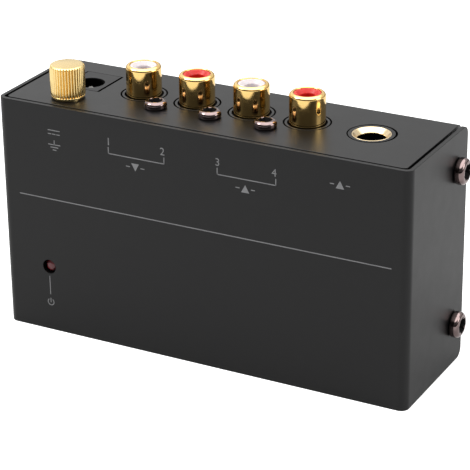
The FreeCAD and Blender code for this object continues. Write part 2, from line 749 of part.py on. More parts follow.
def output_body():
    """Moulded body of the 6.35 mm jack, open through its length, with its nose in the panel hole."""
    half = OUTPUT_BODY_WIDTH / 2
    back = PANEL_IN_Z - OUTPUT_BODY_DEPTH
    front = OUTPUT_Y - OUTPUT_BODY_LIP
    body = box(OUTPUT_X - half, front, back, OUTPUT_X + half, BOARD_Y, PANEL_IN_Z)
    uprights = edges_where(
        body,
        lambda e: straight_along(e, Z_AXIS) and abs(e.CenterOfMass.y - front) < 1e-6,
    )
    body = body.makeFillet(OUTPUT_BODY_ROUND, uprights)
    nose_top = PANEL_Z - FLUSH_STEP
    nose = cylinder(OUTPUT_NOSE, vec(OUTPUT_X, OUTPUT_Y, PANEL_IN_Z), vec(OUTPUT_X, OUTPUT_Y, nose_top))
    body = body.fuse(nose)
    mouth = vec(OUTPUT_X, OUTPUT_Y, PANEL_Z)
    body = body.cut(cylinder(OUTPUT_THROAT, vec(OUTPUT_X, OUTPUT_Y, back - PAST), mouth))
    seat = OUTPUT_FERRULE + 2 * SEAT_CLEARANCE
    body = body.cut(cylinder(seat, vec(OUTPUT_X, OUTPUT_Y, nose_top - OUTPUT_FERRULE_LENGTH), mouth))
    for side, depth, direction in output_springs().values():
        body = body.cut(output_spring_room(side, depth, direction))
    return body


def output_ferrule():
    top = PANEL_Z - FLUSH_STEP
    bottom = top - OUTPUT_FERRULE_LENGTH
    bore = OUTPUT_BORE / 2
    profile = [
        (bore, bottom, 0),
        (OUTPUT_FERRULE / 2, bottom, 0),
        (OUTPUT_FERRULE / 2, top, 0),
        (bore + OUTPUT_CHAMFER, top, 0),
        (bore, top - OUTPUT_CHAMFER, 0),
    ]
    return turned(profile, OUTPUT_X, OUTPUT_Y)


def barrel_spring():
    """Spring under the inlet's bore that presses on a plug's barrel, with its tail to the board."""
    root_z = PANEL_Z - BARREL_SPRING_ROOT
    nose_z = PANEL_Z - BARREL_SPRING_DEPTH
    run = nose_z - root_z
    rise = BARREL_SPRING_OFFSET - BARREL_SPRING_REACH
    points = [
        vec(INLET_X, TAIL_END_Y, root_z),
        vec(INLET_X, INLET_Y + BARREL_SPRING_OFFSET, root_z),
        vec(INLET_X, INLET_Y + BARREL_SPRING_OFFSET, root_z + run * SPRING_STRAIGHT),
        vec(INLET_X, INLET_Y + BARREL_SPRING_REACH, nose_z),
        vec(INLET_X, INLET_Y + BARREL_SPRING_REACH + rise * SPRING_TIP_RISE, nose_z + run * SPRING_TIP_RUN),
    ]
    return bent_strip(points, X_AXIS, SPRING_WIDTH)


def inlet_body():
    """Moulded body of the power inlet: a square front in the cut-out, and a round-topped barrel behind it."""
    half = INLET_WIDTH / 2
    face = PANEL_Z - FLUSH_STEP
    step = PANEL_Z - INLET_FLANGE
    back = PANEL_Z - INLET_DEPTH
    flange_y = BOARD_Y - INLET_FLANGE_LIFT
    flange = box(INLET_X - half, BOARD_Y - INLET_HEIGHT, step, INLET_X + half, flange_y, face)
    foot = box(INLET_X - half, INLET_Y, back, INLET_X + half, BOARD_Y, step)
    barrel = cylinder(INLET_BARREL, vec(INLET_X, INLET_Y, back), vec(INLET_X, INLET_Y, step))
    body = flange.fuse(foot).fuse(barrel).removeSplitter()
    bore = INLET_BORE / 2
    mouth = [
        (0, PANEL_Z - INLET_BORE_DEPTH, 0),
        (bore, PANEL_Z - INLET_BORE_DEPTH, 0),
        (bore, face - INLET_MOUTH_BEVEL, 0),
        (bore + INLET_MOUTH_BEVEL, face, 0),
        (bore + INLET_MOUTH_BEVEL, PANEL_Z + PAST, 0),
        (0, PANEL_Z + PAST, 0),
    ]
    body = body.cut(turned(mouth, INLET_X, INLET_Y))
    pin_hole = INLET_PIN + 2 * SEAT_CLEARANCE
    body = body.cut(cylinder(pin_hole, vec(INLET_X, INLET_Y, back - PAST), vec(INLET_X, INLET_Y, face)))
    wide = SPRING_WIDTH / 2 + SEAT_CLEARANCE
    thick = SPRING_THICKNESS / 2 + SEAT_CLEARANCE
    root_z = PANEL_Z - BARREL_SPRING_ROOT
    run = BARREL_SPRING_ROOT - BARREL_SPRING_DEPTH
    top_z = root_z + run * (1 + SPRING_TIP_RUN) + 2 * SPRING_THICKNESS
    under_y = INLET_Y + BARREL_SPRING_OFFSET + thick
    left, right = INLET_X - wide, INLET_X + wide
    room = box(left, INLET_Y + INLET_PIN, root_z - thick, right, under_y, top_z)
    slot = box(left, INLET_Y + INLET_PIN, root_z - thick, right, BOARD_Y + PAST, root_z + thick)
    return body.cut(room).cut(slot)


def inlet_pin():
    """Centre pin of the inlet, and the flat tail behind the body that takes it to the board."""
    back = PANEL_Z - INLET_DEPTH
    top = PANEL_Z - INLET_PIN_SINK
    tip = INLET_PIN / 4
    profile = [(0, back, 0), (2 * tip, back, 0), (2 * tip, top - tip, 0), (tip, top, 0), (0, top, 0)]
    pin = turned(profile, INLET_X, INLET_Y)
    half = SPRING_WIDTH / 2
    tail = box(INLET_X - half, INLET_Y - half, back - TAIL_THICKNESS, INLET_X + half, TAIL_END_Y, back)
    return pin.fuse(tail).removeSplitter()


def ground_stud():
    """Threaded stud through the panel, with a thin flange that its nut pulls down on."""
    shaft = STUD_DIAMETER / 2
    flange = STUD_FLANGE / 2
    bottom = PANEL_Z - STUD_BELOW
    top = PANEL_Z + STUD_ABOVE
    seat = PANEL_Z + STUD_FLANGE_HEIGHT
    profile = [
        (0, bottom, 0),
        (shaft - STUD_BEVEL, bottom, 0),
        (shaft, bottom + STUD_BEVEL, 0),
        (shaft, PANEL_Z, 0),
        (flange, PANEL_Z, 0),
        (flange, seat, 0),
        (shaft, seat, 0),
        (shaft, top - STUD_BEVEL, 0),
        (shaft - STUD_BEVEL, top, 0),
        (0, top, 0),
    ]
    return turned(profile, GROUND_X, GROUND_Y)


def ring(outer, inner, z, height):
    profile = [(inner / 2, z, 0), (outer / 2, z, 0), (outer / 2, z + height, 0), (inner / 2, z + height, 0)]
    return turned(profile, GROUND_X, GROUND_Y)


def stud_hole():
    return STUD_DIAMETER + 2 * THREAD_CLEARANCE


def on_stud_axis(diameter, low, high):
    return cylinder(diameter, vec(GROUND_X, GROUND_Y, low), vec(GROUND_X, GROUND_Y, high))


def thumb_nut():
    """Knurled thumb nut: straight ribs, a bevelled blind crown and a plain rim at the foot."""
    bottom = PANEL_Z + STUD_FLANGE_HEIGHT + GROUND_WASHER_HEIGHT
    top = bottom + NUT_HEIGHT
    rim_top = bottom + NUT_RIM_HEIGHT
    outer = NUT_DIAMETER / 2
    root = outer - KNURL_DEPTH
    points = []
    for i in range(KNURL_RIBS):
        for share, radius in ((0, root), (KNURL_RIB_START, outer), (1 - KNURL_RIB_START, outer)):
            points.append(at_angle(GROUND_X, GROUND_Y, rim_top, radius, (i + share) / KNURL_RIBS))
    ribs = prism([(p, 0) for p in points], Z_AXIS * (top - NUT_BEVEL - rim_top))
    body = turned(
        [
            (0, bottom, 0),
            (outer - NUT_RIM_INSET, bottom, 0),
            (outer - NUT_RIM_INSET, rim_top, 0),
            (root, rim_top, 0),
            (root, top - NUT_BEVEL, 0),
            (root - NUT_BEVEL, top, 0),
            (0, top, 0),
        ],
        GROUND_X,
        GROUND_Y,
    )
    bore = STUD_DIAMETER + 2 * NUT_BORE_CLEARANCE
    return body.fuse(ribs).cut(on_stud_axis(bore, bottom - PAST, top - NUT_CROWN))


def ground_washer():
    hole = STUD_DIAMETER + 2 * SCREW_CLEARANCE
    return ring(GROUND_WASHER, hole, PANEL_Z + STUD_FLANGE_HEIGHT, GROUND_WASHER_HEIGHT)


def lock_washer():
    """Toothed washer under the panel."""
    z = PANEL_IN_Z - LOCK_WASHER_HEIGHT
    tip = LOCK_WASHER / 2
    root = tip - LOCK_TOOTH_DEPTH
    points = []
    for i in range(LOCK_TEETH):
        for share, radius in ((0, root), (LOCK_TOOTH_START, tip), (1 - LOCK_TOOTH_START, tip)):
            points.append(at_angle(GROUND_X, GROUND_Y, z, radius, (i + share) / LOCK_TEETH))
    star = prism([(p, 0) for p in points], Z_AXIS * LOCK_WASHER_HEIGHT)
    return star.cut(on_stud_axis(stud_hole(), z - PAST, PANEL_IN_Z))


def lug_top():
    return PANEL_IN_Z - LOCK_WASHER_HEIGHT


def wire_x():
    return GROUND_X - LUG_REACH


def ground_lug():
    """Ring terminal under the lock washer, its tongue bent down to a crimped barrel."""
    top = lug_top()
    low = top - LUG_THICKNESS
    bend_z = top - LUG_DROP
    barrel_low = bend_z - LUG_CRIMP
    plate = on_stud_axis(LUG_RING, low, top)
    half = LUG_BARREL / 2
    outer_x = wire_x() - LUG_THICKNESS / 2
    outline = [
        (vec(GROUND_X, GROUND_Y - half, top), 0),
        (vec(outer_x, GROUND_Y - half, top), LUG_THICKNESS + LUG_INNER_BEND),
        (vec(outer_x, GROUND_Y - half, bend_z - half), 0),
        (vec(outer_x + LUG_THICKNESS, GROUND_Y - half, bend_z - half), 0),
        (vec(outer_x + LUG_THICKNESS, GROUND_Y - half, low), LUG_INNER_BEND),
        (vec(GROUND_X, GROUND_Y - half, low), 0),
    ]
    tongue = prism(outline, Y_AXIS * LUG_BARREL)
    barrel = cylinder(LUG_BARREL, vec(wire_x(), GROUND_Y, barrel_low), vec(wire_x(), GROUND_Y, bend_z))
    lug = plate.fuse(tongue).fuse(barrel).removeSplitter()
    lug = lug.cut(on_stud_axis(stud_hole(), low - PAST, top + PAST))
    socket = WIRE_DIAMETER + 2 * THREAD_CLEARANCE
    socket_low = vec(wire_x(), GROUND_Y, barrel_low - PAST)
    return lug.cut(cylinder(socket, socket_low, vec(wire_x(), GROUND_Y, bend_z - half)))


def ground_wire():
    """Lead from the lug's barrel, down and round in one wide bend, to its hole in the board."""
    start_z = lug_top() - LUG_DROP - LUG_BARREL
    bend_z = wire_bend_z()
    x = wire_x()
    start = vec(x, GROUND_Y, start_z)
    bend_start = vec(x, GROUND_Y, bend_z)
    centre = vec(x, GROUND_Y + WIRE_BEND, bend_z)
    slant = WIRE_BEND * math.sqrt(0.5)
    bend_middle = centre + vec(0, -slant, -slant)
    bend_end = centre + vec(0, 0, -WIRE_BEND)
    end = vec(x, TAIL_END_Y, bend_z - WIRE_BEND)
    path = Part.Wire(
        [
            Part.LineSegment(start, bend_start).toShape(),
            Part.Arc(bend_start, bend_middle, bend_end).toShape(),
            Part.LineSegment(bend_end, end).toShape(),
        ]
    )
    section = Part.Wire(Part.Circle(start, Z_AXIS, WIRE_DIAMETER / 2).toShape())
    return path.makePipeShell([section], True, False)


def wire_bend_z():
    return lug_top() - LUG_DROP - LUG_CRIMP - WIRE_DROP


def wire_end_z():
    return wire_bend_z() - WIRE_BEND


def hex_nut():
    z = lug_top() - LUG_THICKNESS - HEX_NUT_HEIGHT
    nut = hexagon(HEX_NUT_FLATS, z, HEX_NUT_HEIGHT, GROUND_X, GROUND_Y)
    return nut.cut(on_stud_axis(stud_hole(), z - PAST, z + HEX_NUT_HEIGHT + PAST))


def light_base_y():
    return FACE_Y + LIGHT_SINK + LIGHT_LENGTH


def power_light():
    profile = [
        (0, 0, 0),
        (LIGHT_FLANGE / 2, 0, 0),
        (LIGHT_FLANGE / 2, LIGHT_FLANGE_HEIGHT, 0),
        (LIGHT_DIAMETER / 2, LIGHT_FLANGE_HEIGHT, 0),
        (LIGHT_DIAMETER / 2, LIGHT_LENGTH, LIGHT_DIAMETER / 2),
        (0, LIGHT_LENGTH, 0),
    ]
    return laid(turned(profile, 0, 0), -Y_AXIS, vec(LIGHT_X, light_base_y(), LIGHT_Z))


def lead_xs():
    return [LIGHT_X + side * LIGHT_LEAD_PITCH / 2 for side in (-1, 1)]


def light_leads():
    start = light_base_y()
    return [cylinder(LIGHT_LEAD, vec(x, start, LIGHT_Z), vec(x, TAIL_END_Y, LIGHT_Z)) for x in lead_xs()]


def light_spacer():
    tube = cylinder(LIGHT_SPACER, vec(LIGHT_X, light_base_y(), LIGHT_Z), vec(LIGHT_X, BOARD_Y, LIGHT_Z))
    bore = LIGHT_LEAD + 2 * TAIL_CLEARANCE
    for x in lead_xs():
        start = light_base_y() - PAST
        tube = tube.cut(cylinder(bore, vec(x, start, LIGHT_Z), vec(x, BOARD_Y + PAST, LIGHT_Z)))
    return tube


def board():
    """Circuit board, notched beside the ears, with a hole for every screw, tail and lead."""
    plate = box(-BOARD_X, BOARD_Y, BOARD_BOTTOM, BOARD_X, BOARD_UNDER_Y, BOARD_TOP_Z)
    reach = EAR_LENGTH / 2 + BOARD_END_GAP
    for z in END_SCREW_ZS:
        for x0, x1 in ((-BOARD_X, -BOARD_NOTCH_X), (BOARD_NOTCH_X, BOARD_X)):
            plate = plate.cut(box(x0, BOARD_Y, z - reach, x1, BOARD_UNDER_Y, z + reach))
    low, high = BOARD_Y - PAST, BOARD_UNDER_Y + PAST
    round_holes = [(x, z, BOARD_SCREW_DIAMETER + 2 * SCREW_CLEARANCE) for x, z in standoff_places()]
    round_holes += [(x, LIGHT_Z, LIGHT_LEAD + 2 * TAIL_CLEARANCE) for x in lead_xs()]
    round_holes.append((wire_x(), wire_end_z(), WIRE_DIAMETER + 2 * THREAD_CLEARANCE))
    for x, z, diameter in round_holes:
        plate = plate.cut(cylinder(diameter, vec(x, low, z), vec(x, high, z)))
    for x0, z0, x1, z1 in tail_places():
        grow = TAIL_CLEARANCE
        plate = plate.cut(box(x0 - grow, low, z0 - grow, x1 + grow, high, z1 + grow))
    return plate


def tail_places():
    """The rectangle (x0, z0, x1, z1) of each flat tail where it passes the board."""
    half = TAIL_WIDTH / 2
    places = []
    for x in PHONO_XS:
        for z in (contact_base() - TAIL_THICKNESS, phono_heights()["lug_under"]):
            places.append((x - half, z, x + half, z + TAIL_THICKNESS))
    for side, depth, direction in output_springs().values():
        root_z = spring_root_z(depth, direction)
        low, high = sorted((root_z, root_z + direction * TAIL_WIDTH))
        middle = OUTPUT_X + side * SPRING_OFFSET
        places.append((middle - SPRING_THICKNESS / 2, low, middle + SPRING_THICKNESS / 2, high))
    wide = SPRING_WIDTH / 2
    back = PANEL_Z - INLET_DEPTH
    places.append((INLET_X - wide, back - TAIL_THICKNESS, INLET_X + wide, back))
    root_z = PANEL_Z - BARREL_SPRING_ROOT
    thick = SPRING_THICKNESS / 2
    places.append((INLET_X - wide, root_z - thick, INLET_X + wide, root_z + thick))
    return places


def board_screws():
    screw = pan_screw(BOARD_SCREW_DIAMETER, BOARD_SCREW_LENGTH, BOARD_SCREW_HEAD, BOARD_SCREW_HEAD_HEIGHT)
    return [laid(screw, -Y_AXIS, vec(x, BOARD_Y, z)) for x, z in standoff_places()]


def standoffs():
    """Hexagonal standoffs pressed into the base sheet, each with a spigot that ends flush outside."""
    post = hexagon(STANDOFF_FLATS, SHEET, STANDOFF_HEIGHT, 0, 0)
    post = post.fuse(cylinder(STANDOFF_SPIGOT, vec(0, 0, 0), vec(0, 0, SHEET)))
    thread = BOARD_SCREW_DIAMETER + 2 * THREAD_CLEARANCE
    blind = SHEET + STANDOFF_HEIGHT - BOARD_SCREW_LENGTH + BOARD_THICKNESS - SCREW_TIP_ROOM
    post = post.cut(cylinder(thread, vec(0, 0, blind), vec(0, 0, SHEET + STANDOFF_HEIGHT + PAST)))
    return [laid(post, -Y_AXIS, vec(x, BASE_Y, z)) for x, z in standoff_places()]


def on_board(shape, x, level):
    """A part modelled upward from the origin, stood on the board's component face at a level."""
    return laid(shape, -Y_AXIS, vec(x, BOARD_Y, BOARD_BOTTOM + level * PARTS_ROOM))


def capacitor_can(diameter, height):
    """Radial electrolytic capacitor with a bevelled top."""
    outer = diameter / 2
    profile = [
        (0, 0, 0),
        (outer, 0, 0),
        (outer, height - CAN_BEVEL, 0),
        (outer - CAN_BEVEL, height, 0),
        (0, height, 0),
    ]
    return turned(profile, 0, 0)


def electrolytic_capacitors():
    small = capacitor_can(SMALL_CAN_DIAMETER, SMALL_CAN_HEIGHT)
    large = capacitor_can(LARGE_CAN_DIAMETER, LARGE_CAN_HEIGHT)
    cans = [on_board(small, x, level) for x in SMALL_CAN_XS for level in SMALL_CAN_LEVELS]
    return cans + [on_board(large, x, level) for x, level in zip(LARGE_CAN_XS, LARGE_CAN_LEVELS)]


def block_on_board(length, width, height):
    return box(-length / 2, -width / 2, 0, length / 2, width / 2, height)


def film_capacitors():
    body = block_on_board(FILM_LENGTH, FILM_WIDTH, FILM_HEIGHT)
    return [on_board(body, x, FILM_LEVEL) for x in FILM_XS]


def leg(x, start_y, reach, width):
    """A gull-wing leg that leaves a chip's side at half height and lands on the board."""
    thick = CHIP_LEG_THICKNESS
    side = 1 if reach > 0 else -1
    knee = start_y + reach * CHIP_LEG_KNEE
    outline = [
        (vec(x, start_y, CHIP_HEIGHT / 2), 0),
        (vec(x, knee, CHIP_HEIGHT / 2), 0),
        (vec(x, knee, thick), 0),
        (vec(x, start_y + reach, thick), 0),
        (vec(x, start_y + reach, 0), 0),
        (vec(x, knee - side * thick, 0), 0),
        (vec(x, knee - side * thick, CHIP_HEIGHT / 2 - thick), 0),
        (vec(x, start_y, CHIP_HEIGHT / 2 - thick), 0),
    ]
    shape = prism(outline, X_AXIS * width)
    shape.translate(X_AXIS * (-width / 2))
    return shape


def amplifier_chips():
    body = box(-CHIP_LENGTH / 2, -CHIP_WIDTH / 2, CHIP_LIFT, CHIP_LENGTH / 2, CHIP_WIDTH / 2, CHIP_HEIGHT)
    for i in range(CHIP_LEGS):
        x = (i - (CHIP_LEGS - 1) / 2) * CHIP_LEG_PITCH
        for side in (-1, 1):
            body = body.fuse(leg(x, side * CHIP_WIDTH / 2, side * CHIP_LEG_REACH, CHIP_LEG_WIDTH))
    return [on_board(body, x, CHIP_LEVEL) for x in CHIP_XS]


def voltage_regulator():
    body = block_on_board(REGULATOR_LENGTH, REGULATOR_WIDTH, REGULATOR_HEIGHT)
    side = REGULATOR_WIDTH / 2
    for i in (-1, 0, 1):
        body = body.fuse(leg(i * REGULATOR_LEG_PITCH, -side, -REGULATOR_LEG_REACH, REGULATOR_LEG_WIDTH))
    body = body.fuse(leg(0, side, REGULATOR_LEG_REACH, REGULATOR_TAB_WIDTH))
    return on_board(body, REGULATOR_X, REGULATOR_LEVEL)


def protection_diode():
    body = block_on_board(DIODE_LENGTH, DIODE_WIDTH, DIODE_HEIGHT)
    top = edges_where(body, lambda e: abs(e.CenterOfMass.z - DIODE_HEIGHT) < 1e-6)
    return on_board(body.makeChamfer(DIODE_BEVEL, top), DIODE_X, DIODE_LEVEL)


def chip_resistors():
    body = block_on_board(RESISTOR_LENGTH, RESISTOR_WIDTH, RESISTOR_HEIGHT)
    return [on_board(body, x, level) for x in RESISTOR_XS for level in RESISTOR_LEVELS]


def rubber_feet():
    profile = [
        (0, 0, 0),
        (FOOT_DIAMETER / 2, 0, 0),
        (FOOT_DIAMETER / 2, FOOT_HEIGHT - FOOT_BEVEL, 0),
        (FOOT_DIAMETER / 2 - FOOT_BEVEL, FOOT_HEIGHT, 0),
        (0, FOOT_HEIGHT, 0),
    ]
    foot = turned(profile, 0, 0)
    xs = (-FLAP_X + FOOT_INSET_X, FLAP_X - FOOT_INSET_X)
    zs = (FOOT_INSET_Z, CASE_HEIGHT - FOOT_INSET_Z)
    return [laid(foot, Y_AXIS, vec(x, BASE_Y, z)) for x in xs for z in zs]


def build():
    os.makedirs("parts", exist_ok=True)
    save("cover", cover())
    save("chassis", chassis())
    save("end_screws", end_screws())
    save("phono_block", phono_block())
    save("phono_block_screws", block_screws())
    for name, x in zip(PHONO_NAMES, PHONO_XS):
        save(f"phono_shell_{name}", phono_shell(x))
        save(f"phono_insulator_{name}", phono_insulator(x))
        save(f"phono_contact_{name}", phono_contact(x))
    save("phono_ground_lugs", [phono_lug(x) for x in PHONO_XS])
    save("output_jack_body", output_body())
    save("output_jack_ferrule", output_ferrule())
    for name, settings in output_springs().items():
        save(f"output_jack_{name}_spring", output_spring(*settings))
    save("power_inlet_body", inlet_body())
    save("power_inlet_pin", inlet_pin())
    save("power_inlet_barrel_spring", barrel_spring())
    save("ground_stud", ground_stud())
    save("ground_washer", ground_washer())
    save("ground_thumb_nut", thumb_nut())
    save("ground_lock_washer", lock_washer())
    save("ground_lug", ground_lug())
    save("ground_hex_nut", hex_nut())
    save("ground_wire", ground_wire())
    save("circuit_board", board())
    save("board_standoffs", standoffs())
    save("board_screws", board_screws())
    save("electrolytic_capacitors", electrolytic_capacitors())
    save("film_capacitors", film_capacitors())
    save("amplifier_chips", amplifier_chips())
    save("voltage_regulator", voltage_regulator())
    save("protection_diode", protection_diode())
    save("chip_resistors", chip_resistors())
    save("power_light", power_light())
    save("power_light_leads", light_leads())
    save("power_light_spacer", light_spacer())
    save("rubber_feet", rubber_feet())


build()
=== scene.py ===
import json
import math

import bmesh
import bpy
from mathutils import Matrix, Vector
from mathutils.geometry import tessellate_polygon


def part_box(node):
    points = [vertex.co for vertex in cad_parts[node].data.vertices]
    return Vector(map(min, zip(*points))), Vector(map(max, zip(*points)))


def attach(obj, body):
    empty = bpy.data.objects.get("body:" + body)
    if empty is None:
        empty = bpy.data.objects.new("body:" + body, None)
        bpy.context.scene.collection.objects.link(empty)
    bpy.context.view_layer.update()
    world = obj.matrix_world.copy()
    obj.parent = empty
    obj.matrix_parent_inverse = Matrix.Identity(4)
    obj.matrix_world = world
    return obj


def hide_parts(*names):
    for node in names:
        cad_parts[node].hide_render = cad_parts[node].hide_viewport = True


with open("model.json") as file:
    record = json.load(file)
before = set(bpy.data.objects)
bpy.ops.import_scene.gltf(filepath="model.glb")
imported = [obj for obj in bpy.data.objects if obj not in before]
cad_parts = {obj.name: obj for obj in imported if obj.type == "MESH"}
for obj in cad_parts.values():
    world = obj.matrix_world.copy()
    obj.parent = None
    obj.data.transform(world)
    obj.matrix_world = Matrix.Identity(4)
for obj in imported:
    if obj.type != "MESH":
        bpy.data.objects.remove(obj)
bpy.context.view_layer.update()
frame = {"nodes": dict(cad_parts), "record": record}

# Looks of the phono preamp. Lengths are in millimetres, and MM turns them into the scene's metres.
# Angles are in degrees. The printed face looks along -Y, the connector panel lies on top, and names
# that end in Z are heights.
MM = 0.001

# Camera, at the photograph's angle
IMAGE_PIXELS = 470
FOCAL_PIXELS = 2104.5
SENSOR_WIDTH = 36.0
CAMERA_AZIMUTH = 28.28
CAMERA_ELEVATION = 23.90
CAMERA_ROLL = -0.71
CAMERA_TARGET = (1.52, -0.2, 26.69)
CAMERA_DISTANCE = 487.3
CAMERA_CLIP = (10.0, 10000.0)

# Fineness and shading of meshes
ROUND_STEPS = 7
TURN_STEPS = 96
HOLE_STEPS = 56
BEND_STEPS = 10
SCREW_STEPS = 72
ON_AXIS = 1e-6
CUT_TOLERANCE = 1e-5
MERGE_DISTANCE = 1e-4
SHARP_ANGLE = math.radians(32)
SHEET_SHARP_ANGLE = math.radians(20)

# Sheet steel; holes are given by their diameters
SHEET = 1.0
COVER_BEND = 2.0
CHASSIS_BEND = 1.6
BEND_MARGIN = 0.25
FLAP_CORNER = 2.2
PANEL_CORNER = 1.0
SHEET_EDGE = 0.1
HOLE_EDGE = 0.05
PANEL_EDGE_BACK = 0.18
PANEL_SIDE_BACK = 0.3
END_SCREW_HOLE = 3.4
LIGHT_HOLE = 3.5
PHONO_PANEL_HOLE = 11.0
OUTPUT_PANEL_HOLE = 11.3
OUTPUT_HOLE_SHIFT = 0.12
BLOCK_SCREW_HOLE = 3.0
STUD_HOLE = 4.5
INLET_GAP = 0.3
INLET_GAP_FRONT = 0.25
INLET_GAP_RIGHT = 0.65
INLET_GAP_BACK = 0.02
INLET_FLANGE_LIFT = 0.4
INLET_CORNER = 0.3
SPIGOT_HOLE = 4.3
BOARD_SCREW_HEAD = 5.6

# Shells of the phono jacks, radii from the axis and depths under the panel's outer side
SHELL_BORE = 3.1
SHELL_TAIL = 4.0
SHELL_FLANGE = 4.6
SHELL_FLANGE_TOP = 1.6
SHELL_FLANGE_FOOT = 3.6
SHELL_NECK = 3.9
SHELL_OUTSIDE = 4.15
SHELL_FOOT_ROUND = 0.05
SHELL_RIM_ROUND = 0.8
SHELL_MOUTH_ROUND = 0.2

# Insulators and bosses of the phono jacks
INSULATOR_RISE = 0.15
INSULATOR_STEM = 3.08
INSULATOR_TAIL = 4.6
INSULATOR_TAIL_BORE = 2.0
INSULATOR_BORE = 1.8
INSULATOR_MOUTH = 2.6
INSULATOR_FUNNEL = 0.75
INSULATOR_DEPTH = 6.6
INSULATOR_EDGE_ROUND = 0.15
INSULATOR_FUNNEL_ROUND = 0.3
BOSS_INNER = 4.55
BOSS_OUTER = 5.12
BOSS_DEPTH = 0.65
BOSS_SUNK = 0.03
BOSS_ROUND = 0.06

# Ferrule of the output jack, radii from the axis
FERRULE_BORE = 3.2
FERRULE_MOUTH = 4.2
FERRULE_CHAMFER = 1.0
FERRULE_EDGE_ROUND = 0.08
FERRULE_BORE_ROUND = 0.25

# Ground terminal, radii from the axis
STUD_RADIUS = 2.0
STUD_BEVEL = 0.4
STUD_FLANGE = 3.3
STUD_FLANGE_HEIGHT = 0.4
STUD_FLANGE_ROUND = 0.1
WASHER_BORE = 2.25
WASHER_INSET = 0.2
WASHER_ROUND = 0.1
KNURL_RIBS = 36
KNURL_DEPTH = 0.42
KNURL_STEPS = 12
NUT_BORE = 2.05
NUT_ROOF = 0.9
NUT_BEVEL = 0.55
NUT_BEVEL_STEPS = 6
NUT_BEVEL_WIDER = 1.1
NUT_RIM_HEIGHT = 0.15
NUT_RIM_INSET = 0.2
NUT_RIM_ROUND = 0.05

# Power light and rubber feet, radii from the axis
LENS_FLANGE = 1.95
LENS_FLANGE_HEIGHT = 1.0
LENS_FLANGE_ROUND = 0.1
LENS_RADIUS = 1.6
LENS_DOME = 1.2
FOOT_RADIUS = 4.0
FOOT_ROUND = 0.55
FOOT_DISH_RIM = 0.9
FOOT_DISH_DEPTH = 0.12

# Screws; a SHARE is one of the head's diameter or height. RECESS_MOUTH and RECESS_FOOT say how far the
# recess's reach and arms widen at its mouth and narrow at its foot.
END_SCREW_THREAD = 2.9
END_SCREW_LENGTH = 4.6
END_SCREW_TURNS = (20, 65, 12, 38)
BLOCK_SCREW_THREAD = 2.5
BLOCK_SCREW_LENGTH = 7.0
BLOCK_SCREW_HEAD = 1.75
BLOCK_SCREW_TURNS = (25, 70, 5)
TIP_INSET = 0.25
TIP_LENGTH = 0.3
HEAD_FOOT_HEIGHT_SHARE = 0.25
SHOULDER_HEIGHT_SHARE = 0.6
SHOULDER_WIDTH_SHARE = 0.17
DISH_RIM_SHARE = 0.29
DISH_RIM_ROUND_SHARE = 0.04
DISH_FLOOR_SHARE = 0.24
DISH_DEPTH = 0.25
RECESS_REACH_SHARE = 0.3
RECESS_ARM_SHARE = 0.13
RECESS_DEPTH_SHARE = 0.75
RECESS_OVER = 0.4
RECESS_WAIST = 1.35
RECESS_MOUTH = (1.12, 1.15)
RECESS_FOOT = (0.5, 0.7)
# Faces this far below the head's top, in its middle, get recess_dark: painted shade for the deep recess.
RECESS_SHADE_BELOW = 0.12

# Surface texture of the materials
NOISE_SPAN = (0.3, 0.7)
PATCH_STOPS = (0.25, 0.75)
ROUGH_PATCHES = 2.3
GRAIN_DETAIL = 2.0
COAT_ROUGHNESS = 0.08
SCATTER = (0.9, 0.7, 0.6)

# Painted shade inside holes: below a height the colour turns black and dull, standing in for the shade deep
# in a hole
PAINTED_SHADE = (0.001, 0.001, 0.001)
PAINTED_SHADE_ROUGHNESS = 0.85
PAINTED_SHADE_STEP = 0.08
HOLE_UNSHADED_DEPTH = 0.04
FERRULE_UNSHADED_DEPTH = 1.05

# Sockets A, B and result of a mix node, whose names are the same for values and for colours
MIX_SOCKETS = {"FLOAT": (2, 3, 0), "RGBA": (6, 7, 2)}

# Floor, room and lamps; a span is a range of the X, Y or Z of the direction of light
FLOOR_GREY = 0.8
FLOOR_REACH = 3000.0
FLOOR_GLOW_SEEN = 0.7
FLOOR_GLOW_MIRRORED = 0.15
ROOM_FRONT = 0.14
ROOM_BACK = 0.93
ROOM_BACK_SPAN = (-0.6, 0.3)
ROOM_LEFT = 1.4
ROOM_LEFT_SPAN = (-0.36, -0.6)
ROOM_TOP = 1.2
ROOM_TOP_MIRRORED = 4.0
CEILING_SPAN = (0.6, 0.74)
ROOM_HORIZON = 0.12
HORIZON_SPAN = (0.0, 0.4)
HORIZON_STOPS = (0.25, 0.65)
LAMP_AIM = (0, 0, 30)
KEY_PLACE = (-750, -450, 900)
KEY_WATTS = 9.0
KEY_SIZE = 500
FILL_PLACE = (1100, 200, 500)
FILL_WATTS = 4.2
FILL_SIZE = 600

# Printed marks on the face; those named SHIFT count from the middle of what they stand beside
PRINT_LIFT = 0.012
PRINT_THICKNESS = 0.02
LINE_WIDTH = 0.22
LONG_LINE_WIDTH = 0.24
LONG_LINE = (-47.0, 47.8)
LONG_LINE_Z = 34.1
LIGHT_LINE_Z = (14.0, 9.4)
MARK_HEIGHT = 1.85
BRACKET_HALF = 7.25
BRACKET_SHIFT = 0.5
BRACKET_Z = 48.35
BRACKET_LEG = 1.45
NUMBER_Z = 50.4
NUMBER_SHIFTS = (0.1 - BRACKET_HALF, BRACKET_HALF - 0.4)
DIGIT_HEIGHT_SHARE = 0.72
DIGIT_CURVE_STEPS = 6
PAIR_MARK_Z = 45.2
PAIR_MARK_SHIFT = -0.3
OUTPUT_MARK_SHIFT = 0.4
ARROW_HALF = 1.0
ARROW_BAR_START = 1.5
ARROW_BAR_END = 2.3
POWER_MARK_Z = 6.4
POWER_GAP = 35
POWER_STEPS = 32
SUPPLY_SHIFT = 0.8
SUPPLY_HALF = 1.5
SUPPLY_Z = 51.4
DASH_Z = 50.5
DASH_COUNT = 3
DASH_PITCH = 1.15
DASH_LENGTH = 0.7
GROUND_STEM_Z = 48.9
GROUND_Z = 47.9
GROUND_HALVES = (1.5, 0.95, 0.4)
